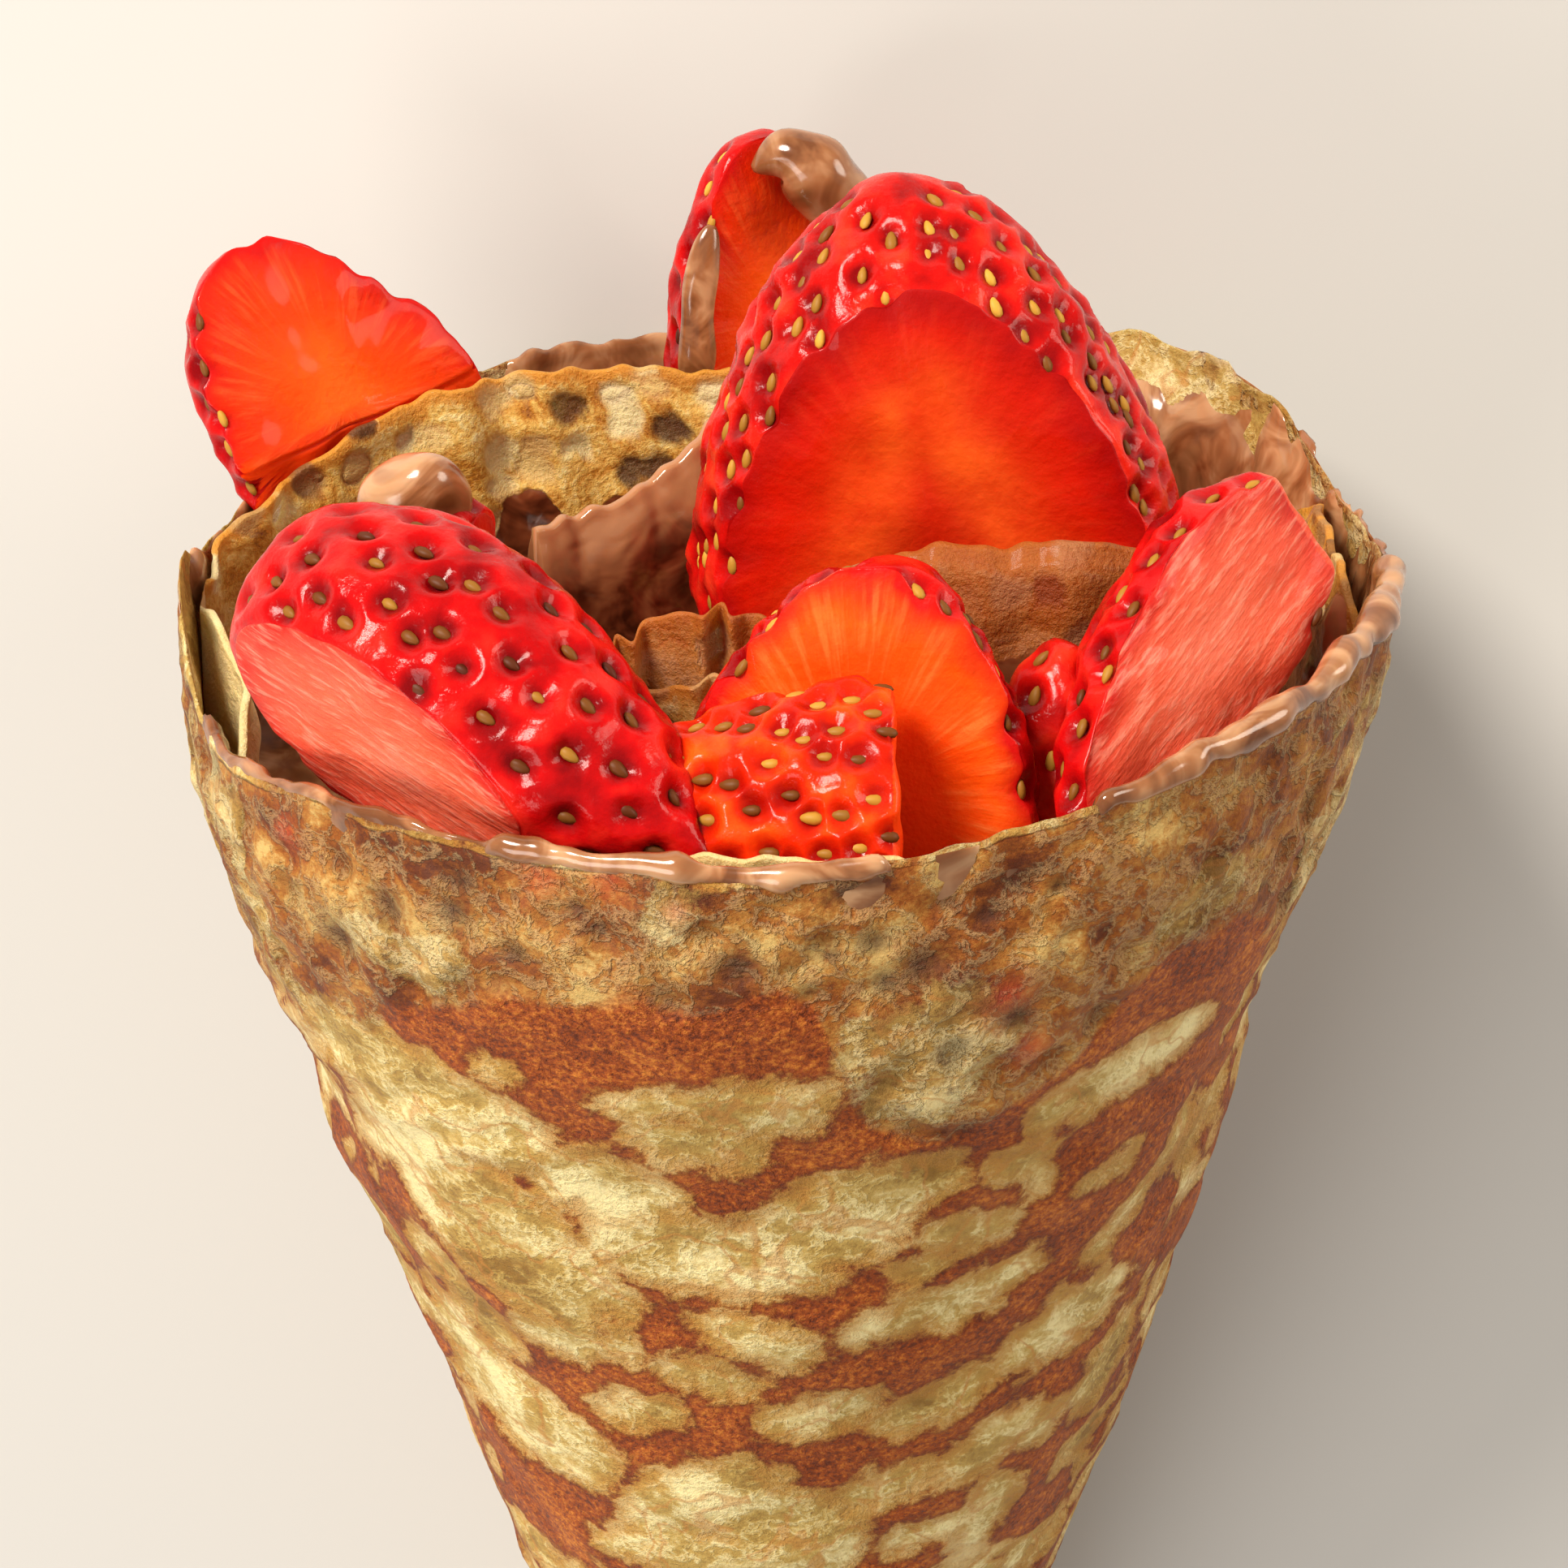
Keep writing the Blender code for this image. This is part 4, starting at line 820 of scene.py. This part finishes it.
# Fresh strawberries: a thin glossy red skin with sunken seeds over wet flesh, whose orange is partly a
# painted glow of light coming through. A cut face is red at its edge, then orange with fine pale veins, and
# paler at the core.
# skin from deep to light, flesh from the core to the edge, then the pale veins and how strong they are
fleshKinds = {
    "orange": {"skin": ("#7c0408", "#b8080c", "#dc241c"),
               "flesh": ("#f5620e", "#f04c08", "#e83206", "#c40e0a"),
               "vein": "#ff9048", "veins": 0.18},
    # glow: brighter orange flesh, partly a painted glow of light coming through the slice
    "glow": {"skin": ("#8c0408", "#c80e0a", "#e8301c"), "flesh": ("#f04208", "#f44a08", "#f85a0c", "#cc120c"),
             "vein": "#ff9c4c", "veins": 0.32},
    "red": {"skin": ("#8c0608", "#cc120c", "#ee3a20"), "flesh": ("#c41c05", "#d22004", "#ce1602", "#a80805"),
            "vein": "#ff5a30", "veins": 0.08},
    "salmon": {"skin": ("#82060a", "#c00a0c", "#e4281c"),
               "flesh": ("#f27458", "#ee6648", "#e8563c", "#c8281e"),
               "vein": "#ffb89c", "veins": 0.34},
    # ember: brighter orange skin and flesh, partly a painted glow of light coming through the berry
    "ember": {"skin": ("#a80e04", "#e02a06", "#fb5a14"),
              "flesh": ("#ff7416", "#fb5208", "#f23806", "#cc100c"),
              "vein": "#ff9c50", "veins": 0.3},
}
berryPieces = {
    "strawberry_centre": {"stem": (14.4, -4.0, -1.5), "end": (8.6, -8.0, 48.6), "width": 39.2, "depth": 0.88,
                          "blunt": 0.52, "face": (0, 1, 0), "cut": 9.0, "flesh": "red", "around": 330,
                          "gap": 3.6, "heart": (0.85, 0.5, 0.55), "tones": (0.3, 1.0)},
    "strawberry_front_left": {"stem": (-38.1, 17.0, 26.5), "end": (-5.4, 40.0, 15.2), "width": 22.6,
                              "face": (-0.60, 0.73, -0.27), "cut": 7.6, "flesh": "salmon", "around": 280,
                              "gap": 4.3, "lengthwise": True, "tones": (0.0, 0.55)},
    "strawberry_back_left": {"stem": (-27.0, -21.0, 12.0), "end": (-46.3, -22.0, 35.8), "width": 23.0,
                             "depth": 0.85, "blunt": 0.42, "face": (0.56, 0.77, 0.30), "cut": 1.0,
                             "more": [((0.59, 0.81, 0.0), 1.8)], "flesh": "orange", "around": 240,
                             "gap": 3.6, "heart": (0.7, 0.1, 0.5)},
    "strawberry_back": {"stem": (0.6, -35.0, 9.0), "end": (-2.0, -37.6, 41.6), "width": 19.5, "blunt": 0.4,
                        "face": (0.55, 0.83, 0.0), "cut": 1.2, "flesh": "orange", "around": 220, "gap": 3.6,
                        "heart": (0.4, 0.1, 0.5)},
    "strawberry_front_right": {"stem": (39.6, 8.6, 29.2), "end": (20.0, 33.0, 14.0), "width": 15.8,
                               "face": (0.62, 0.72, 0.30), "cut": 1.8, "more": [((0.565, -0.70, 0.44), 14.6)],
                               "flesh": "salmon", "around": 240, "gap": 3.5, "lengthwise": True,
                               "tones": (0.0, 0.7)},
    "strawberry_slice": {"stem": (3.2, 29.0, -3.0), "end": (7.8, 22.2, 30.2), "width": 27.8, "blunt": 0.45,
                         "face": (-0.10, 0.97, 0.22), "cut": 2.7, "more": [((0.10, -0.97, -0.22), 2.7)],
                         "flesh": "glow", "around": 300, "gap": 2.8},
    "strawberry_front": {"stem": (20.0, 31.0, 11.0), "end": (-14.8, 31.5, 14.6), "width": 24.0, "blunt": 0.5,
                         "face": (0.0, -0.97, -0.2), "cut": -0.5, "more": [((1.0, 0.0, 0.0), 5.4)],
                         "flesh": "ember", "around": 260, "gap": 3.1, "tones": (0.15, 0.8)},
    "strawberry_gap": {"stem": (20.8, 20.5, -1.5), "end": (20.4, 19.5, 22.3), "width": 13.0, "blunt": 0.5,
                       "face": (0.3, 1.0, 0.0), "cut": 8.0, "flesh": "red", "around": 150, "gap": 4.2},
    "strawberry_capped": {"stem": (-26.0, 3.5, 4.0), "end": (-26.3, 1.5, 27.5), "width": 13.0, "blunt": 0.5,
                          "face": (0.92, 0.35, 0.1), "cut": 3.2, "flesh": "red", "around": 150, "gap": 2.8},
}
heartColour = "#fb6a1e"   # the paler band on both sides of the core
berrySizes = {"lump": 4.0, "shade": 6.0, "gloss": 1.5, "pore": 0.9}   # mm, of what varies over a berry
seed = {
    "length": 0.80, "width": 0.45, "thickness": 0.34,   # half sizes, mm
    "sunk": 0.14, "dimple": 0.85, "dimpleWidth": 1.15,   # mm
    "turn": 2.39996,         # radians from one seed to the next, the golden angle
    "cell": 0.87,            # area round each seed, as a share of the square of the gap
    "tints": ("#4f1c0a", "#7a4a18", "#b4822c", "#d8a63e"),
}


# skin where cutFace is 0 and flesh where it is 1; the flesh is shaded by how far it is from the core
def berryMaterial(name, kind):
    material, shader, add = newMaterial(name, Subsurface_Weight=0.3, Subsurface_Scale=0.004, IOR=1.2,
                                        Subsurface_Radius=(1.0, 0.25, 0.1), Coat_Weight=0.14,
                                        Coat_Roughness=0.06)
    spot = add("where")
    dimple, reach, streaky, heart, cutFace = (
        add("attribute", attribute_name=key) for key in ("dimple", "reach", "streaky", "heart", "cutFace"))
    lump = add("noise", spot, 1000 / berrySizes["lump"], 3.0, 0.5)
    # painted shade: the skin is darker in the dimples round the seeds
    skin = add("shades", add("MULTIPLY_ADD", dimple, -0.32, lump),
               stops=zip((0.25, 0.48, 0.70), kind["skin"]))
    # the flesh, by how far the point is from the core to the skin, with fibres
    streak = add("noise", add("vector", attribute_name="fibre"), 1.0, 3.0, 0.6)
    wide = add("SUBTRACT", add("noise", spot, 1000 / berrySizes["shade"], 3.0, 0.55), 0.5)
    wide = add("MULTIPLY_ADD", wide, 0.4, reach)
    inside = add("shades", wide, stops=zip((0.18, 0.45, 0.80, 1.0), kind["flesh"]))
    veins = add("MULTIPLY", add("ease", streak, 0.48, 0.68), streaky)
    inside = add("mix", add("MULTIPLY", veins, kind["veins"]), inside, kind["vein"])
    heart = add("MULTIPLY", add("MULTIPLY_ADD", lump, 1.4, -0.15, use_clamp=True), heart)
    inside = add("mix", heart, inside, heartColour)
    gloss = add("range", add("noise", spot, 1000 / berrySizes["gloss"], 3.0, 0.55), 0.3, 0.7, 0.14, 0.32)
    height = add("MULTIPLY_ADD", add("MULTIPLY", streak, streaky), 0.5 * kind["veins"],
                 add("MULTIPLY", add("noise", spot, 1000 / berrySizes["pore"], 3.0, 0.55), 0.14))
    connect(shader, Base_Color=add("mix", add("ease", cutFace, 0.4, 0.6), skin, inside),
            Roughness=add("MULTIPLY_ADD", cutFace, 0.26, gloss),
            Normal=add("bump", height, mm))
    return material


def seedMaterial():  # strawberry seeds: dry and smooth, from dark red-brown to gold
    material, shader, add = newMaterial("strawberry seed", Roughness=0.5, IOR=1.3)
    connect(shader, Base_Color=add("shades", add("attribute", attribute_name="tint"),
                                   stops=zip((0.0, 0.35, 0.7, 1.0), seed["tints"])))
    return material


def unit(v):  # a vector over its own length
    v = np.asarray(v, float)
    return v / np.linalg.norm(v, axis=-1, keepdims=True)


# half width of a berry of width 2: a sine along its length, fuller where blunt is low
def berryRadius(share, blunt):
    share = np.clip(share, 0.0, 1.0)
    return np.maximum(np.sin(pi * share ** 0.7), 0.0) ** (blunt + (0.6 - blunt) * (1.0 - share))


# one small teardrop for each place: six rings of seven points, narrower toward one end
def makeSeeds(name, centres, ways, outs, rng, tones):
    rings, around = 6, 7
    t = np.linspace(0.12, pi - 0.12, rings)[:, None]
    a = np.linspace(0, 2 * pi, around, endpoint=False)[None]
    narrow = 1 - 0.28 * np.cos(t)
    body = np.stack([np.cos(t) * seed["length"] + 0 * a, np.sin(t) * np.cos(a) * seed["width"] * narrow,
                     np.sin(t) * np.sin(a) * seed["thickness"]], -1).reshape(-1, 3)
    r, k = np.arange(rings - 1)[:, None], np.arange(around)
    nextK = (k + 1) % around
    quads = np.stack([r * around + k, r * around + nextK, (r + 1) * around + nextK, (r + 1) * around + k], -1)
    quads = quads.reshape(-1, 4)
    first = np.stack([np.zeros(around - 2, int), k[2:], k[1:-1]], 1)
    last = np.stack([np.zeros(around - 2, int), k[1:-1], k[2:]], 1) + (rings - 1) * around
    size = rng.uniform(0.85, 1.12, (len(centres), 1, 1))
    across = np.cross(outs, ways)
    turned = body[None, :, :1] * ways[:, None] + body[None, :, 1:2] * across[:, None]
    verts = centres[:, None] + size * (turned + body[None, :, 2:] * outs[:, None])
    shift = (np.arange(len(centres)) * len(body))[:, None, None]
    faces = [(f[None] + shift).reshape(-1, f.shape[1]) for f in (quads, np.concatenate([first, last]))]
    tint = np.repeat(rng.uniform(*tones, len(centres)), len(body))
    verts = verts.reshape(-1, 3)
    return meshObject(name, place(verts[:, 0], verts[:, 1], verts[:, 2]), faces, seedSkin, {"tint": tint})


# rays from a point on the cut face meet the skin; the face is a disc of the same rays
def makeBerry(name, shape, number):
    stem, end = np.array(shape["stem"], float), np.array(shape["end"], float)
    axis, length = unit(end - stem), np.linalg.norm(end - stem)
    face = unit(shape["face"])
    face = unit(face - axis * (face @ axis))
    across = np.cross(axis, face)
    half, depth, blunt = shape["width"] / 2, shape.get("depth", 1.0), shape.get("blunt", 0.7)
    middle, cut = (stem + end) / 2, shape["cut"]
    planes = [(unit(n), o) for n, o in shape.get("more", [])]
    whole = cut > half * depth
    rng = np.random.default_rng(number)

    def outside(p):  # mm outside the skin or outside the further cuts, softly joined
        d = p - middle
        gap = np.hypot(d @ across, d @ face / depth) - half * berryRadius(d @ axis / length + 0.5, blunt)
        for n, o in planes:
            other = d @ n - o
            gap = np.maximum(gap, other) + 0.22 * np.exp(-np.abs(gap - other) / 0.3)
        return gap

    start = middle + face * (0.0 if whole else cut)
    a = np.linspace(0, 2 * pi, shape["around"], endpoint=False)
    flat = np.cos(a)[:, None] * axis + np.sin(a)[:, None] * across

    def reachOf(ways):  # length of each ray, by halving
        low, high = np.zeros(ways.shape[:-1]), np.full(ways.shape[:-1], 60.0)
        for step in range(24):
            mid = 0.5 * (low + high)
            out = outside(start + ways * mid[..., None]) > 0
            low, high = np.where(out, low, mid), np.where(out, mid, high)
        return 0.5 * (low + high)

    # places of the seeds: turned by the golden angle, with even steps of area along the berry
    shares = np.linspace(0.03, 0.985, 300)
    girth = half * berryRadius(shares, blunt)
    area = np.cumsum(girth * np.hypot(np.gradient(girth), np.gradient(shares) * length)) * 2 * pi
    count = int(area[-1] / (seed["cell"] * shape["gap"] ** 2))
    index = np.arange(count) + 0.5
    share = np.interp(index / count * area[-1], area, shares) + rng.normal(0, 0.004, count)
    turn = index * seed["turn"] + rng.normal(0, 0.06, count)
    radius = half * berryRadius(share, blunt)
    outward = np.sin(turn)[:, None] * across + depth * np.cos(turn)[:, None] * face
    seeds = middle + axis * ((share - 0.5) * length)[:, None] + radius[:, None] * outward
    nudge = 0.05 * np.eye(3)
    outs = unit(np.stack([outside(seeds + e) - outside(seeds - e) for e in nudge], -1))
    d = seeds - middle
    keep = np.full(count, True) if whole else d @ face < cut - 0.1
    for n, o in planes:
        keep &= d @ n < o - 0.1
    pr, pf = pressIn(seeds[:, 0], seeds[:, 1], seeds[:, 2])
    keep &= np.hypot(pr - seeds[:, 0], pf - seeds[:, 1]) < 0.05
    seeds, outs = seeds[keep], outs[keep]

    def dimpleAt(p):  # how deep in a dimple, 0 to 1, and the slight swelling round it
        far = np.full(p.shape[:-1], 99.0)
        for part in np.array_split(seeds, max(len(seeds) // 24, 1)):
            far = np.minimum(far, np.linalg.norm(p[..., None, :] - part, axis=-1).min(-1))
        return np.exp(-(far / seed["dimpleWidth"]) ** 2), np.exp(-((far - 1.75) / 0.55) ** 2)

    polar = np.linspace(0.0 if whole else pi / 2, pi, 50 if whole else 88)[1 if whole else 0:-1, None, None]
    ways = np.cos(polar) * face + np.sin(polar) * flat
    skin = start + ways * reachOf(ways)[..., None]
    dimple, swell = dimpleAt(skin)
    lumps = 0.3 * waves(skin, 9.0, number + 2) + 0.12 * waves(skin, 3.5, number + 3)
    height = -seed["dimple"] * dimple + 0.12 * swell + lumps
    outward = gridNormals(skin)
    outward *= np.sign((outward * (skin - start)).sum(-1, keepdims=True))
    if not whole:  # at the cut the skin moves within the plane of the cut
        blendIn = smoothStep(np.arange(len(skin)), -1, 5)[:, None, None]
        outward = unit(outward * blendIn + ways * (1 - blendIn))
    skin = skin + outward * height[..., None]
    none = 0 * dimple
    marks = {"cutFace": none, "dimple": dimple, "heart": none, "streaky": none, "reach": 1 + none}
    fan = np.stack([11 * np.cos(a) + 0 * height, 11 * np.sin(a) + 0 * height, 1.6 + 0 * height], -1)
    if not whole:
        s = np.concatenate([np.linspace(0.04, 0.95, 26), [0.97, 0.985, 0.995]])[:, None, None]
        disc = start + (skin[:1] - start) * s
        spotAt = np.stack([np.cos(a) * 7 + 0 * s[..., 0], np.sin(a) * 7 + 0 * s[..., 0],
                           s[..., 0] * 3 + 0 * a], -1)
        fade = smoothStep(s[..., 0], 0.35, 0.75)
        veins = 0.3 * fleshKinds[shape["flesh"]]["veins"] * fade * waves(spotAt, 3.0, number + 5)
        dip = veins - 0.22 * s[..., 0] ** 24 + 0.16 * waves(disc, 7.0, number + 6)
        disc = disc + face * dip[..., None]
        skin[0] -= face * 0.32
        skin[1] -= face * 0.12
        one = np.ones(disc.shape[:2])
        # a paler band on both sides of the core, which closes toward the pointed end
        lengthwise = (disc - middle) @ axis / (0.5 * length)
        sideways = np.abs((disc - middle) @ across) / half
        strength, apex, spread = shape.get("heart", (0.0, 0.0, 1.0))
        heart = np.exp(-((sideways - spread * np.clip(apex - lengthwise, 0, 2)) / 0.17) ** 2)
        heart = heart * smoothStep(apex - lengthwise, -0.15, 0.1)
        top = {"cutFace": one, "dimple": 0 * one, "heart": strength * heart, "reach": s[..., 0] * one,
               "streaky": one if "lengthwise" in shape else fade * smoothStep(-s[..., 0], -0.99, -0.86) * one}
        marks = {key: np.concatenate([top[key], marks[key]]) for key in marks}
        discFan = np.stack([11 * np.cos(a) * one, 11 * np.sin(a) * one, 1.6 * s[..., 0] * one], -1)
        fan = np.concatenate([discFan, fan])
        skin = np.concatenate([disc, skin])
    if planes:
        d = skin - middle
        for n, o in planes:
            onPlane = smoothStep(-np.abs(d @ n - o), -0.5, -0.25)
            marks["cutFace"] = np.maximum(marks["cutFace"], onPlane)
            marks["reach"] = np.where(onPlane > 0.5, 0.7, marks["reach"])
    # fibres fan out from the middle of the cut, or run along the berry where the cut is slanted
    d = skin - middle
    lengthwise = np.stack([2.0 * (d @ across), 2.0 * (d @ face), 0.3 * (d @ axis)], -1)
    marks["fibre"] = lengthwise if "lengthwise" in shape else fan
    r, f = pressIn(skin[..., 0], skin[..., 1], skin[..., 2])
    item = loft(name + "_flesh", place(r, f, skin[..., 2]), fleshes[shape["flesh"]], marks)
    settle(item, "strawberry", name)
    along = axis - outs * (outs @ axis)[:, None]
    centres = seeds - outs * (seed["dimple"] - seed["sunk"])
    tones = shape.get("tones", (0.0, 1.0))
    settle(makeSeeds(name + "_seeds", centres, unit(along), outs, rng, tones), "strawberry")


print("strawberries")
fleshes = {key: berryMaterial("strawberry, " + key + " flesh", value) for key, value in fleshKinds.items()}
seedSkin = seedMaterial()
for index, (name, shape) in enumerate(berryPieces.items()):
    makeBerry(name, shape, 200 + 10 * index)

# Floor, camera and lights
bpy.context.scene.view_settings.view_transform = "Standard"
studio = {
    "cameraLift": 28.0,        # degrees over the plane of the cone's mouth
    "cameraDistance": 0.350,
    "cameraTarget": 0.155,     # along the axis from the sharp tip
    "lens": 100.0,
    "sensor": 36.0,
    "floor": "#c3c1bd",
    "floorHalf": 6.0,
    "world": ("#f4f2ef", 0.36),
    "lights": [                # name, place, what it points at, size, power and colour
        ("key", (-0.55, 0.78, 0.78), (0, 0.02, 0.04), 0.42, 20.0, "#fff6ea"),
        ("fill", (-0.50, -0.35, 0.62), (0, 0.0, 0.04), 0.5, 4.2, "#fffaf2"),
        ("side", (0.60, 0.30, 0.25), (0, 0.04, 0.05), 0.35, 2.6, "#fff2e0"),
    ],
}
coneMatrix = Matrix.Translation(tip) @ Matrix.Rotation(-(pi / 2 - slope), 4, "X")
camera = bpy.data.objects.new("camera", bpy.data.cameras.new("camera"))
bpy.context.scene.collection.objects.link(camera)
camera.data.lens, camera.data.sensor_width = studio["lens"], studio["sensor"]
camera.data.clip_start = 0.01
lift = radians(studio["cameraLift"])
back = Vector((0, -cos(lift), sin(lift)))
side = Vector((1, 0, 0))
turn = Matrix((side, back.cross(side), back)).transposed().to_4x4()
target = Vector((0, 0, studio["cameraTarget"]))
camera.matrix_world = coneMatrix @ Matrix.Translation(target + back * studio["cameraDistance"]) @ turn
bpy.context.scene.camera = camera

floorMaterial = newMaterial("matt painted board", Roughness=0.8, Base_Color=linear(studio["floor"]))[0]
edge = studio["floorHalf"]
floorMesh = bpy.data.meshes.new("floor")
floorMesh.from_pydata([(-edge, -edge, 0), (edge, -edge, 0), (edge, edge, 0), (-edge, edge, 0)], [],
                      [(0, 1, 2, 3)])
floorMesh.materials.append(floorMaterial)
floorItem = bpy.data.objects.new("floor", floorMesh)
floorItem.location.z = -0.0001   # just under the rest plane
bpy.context.scene.collection.objects.link(floorItem)

for name, location, aim, size, power, colour in studio["lights"]:
    light = bpy.data.lights.new(name, "AREA")
    light.shape, light.size, light.energy, light.color = "DISK", size, power, linear(colour)[:3]
    item = bpy.data.objects.new(name, light)
    item.location = location
    item.rotation_euler = (Vector(aim) - Vector(location)).to_track_quat("-Z", "Y").to_euler()
    bpy.context.scene.collection.objects.link(item)
world = bpy.data.worlds.new("studio")
bpy.context.scene.world = world
world.use_nodes = True
background = world.node_tree.nodes["Background"]
background.inputs[0].default_value = linear(studio["world"][0])
background.inputs[1].default_value = studio["world"][1]
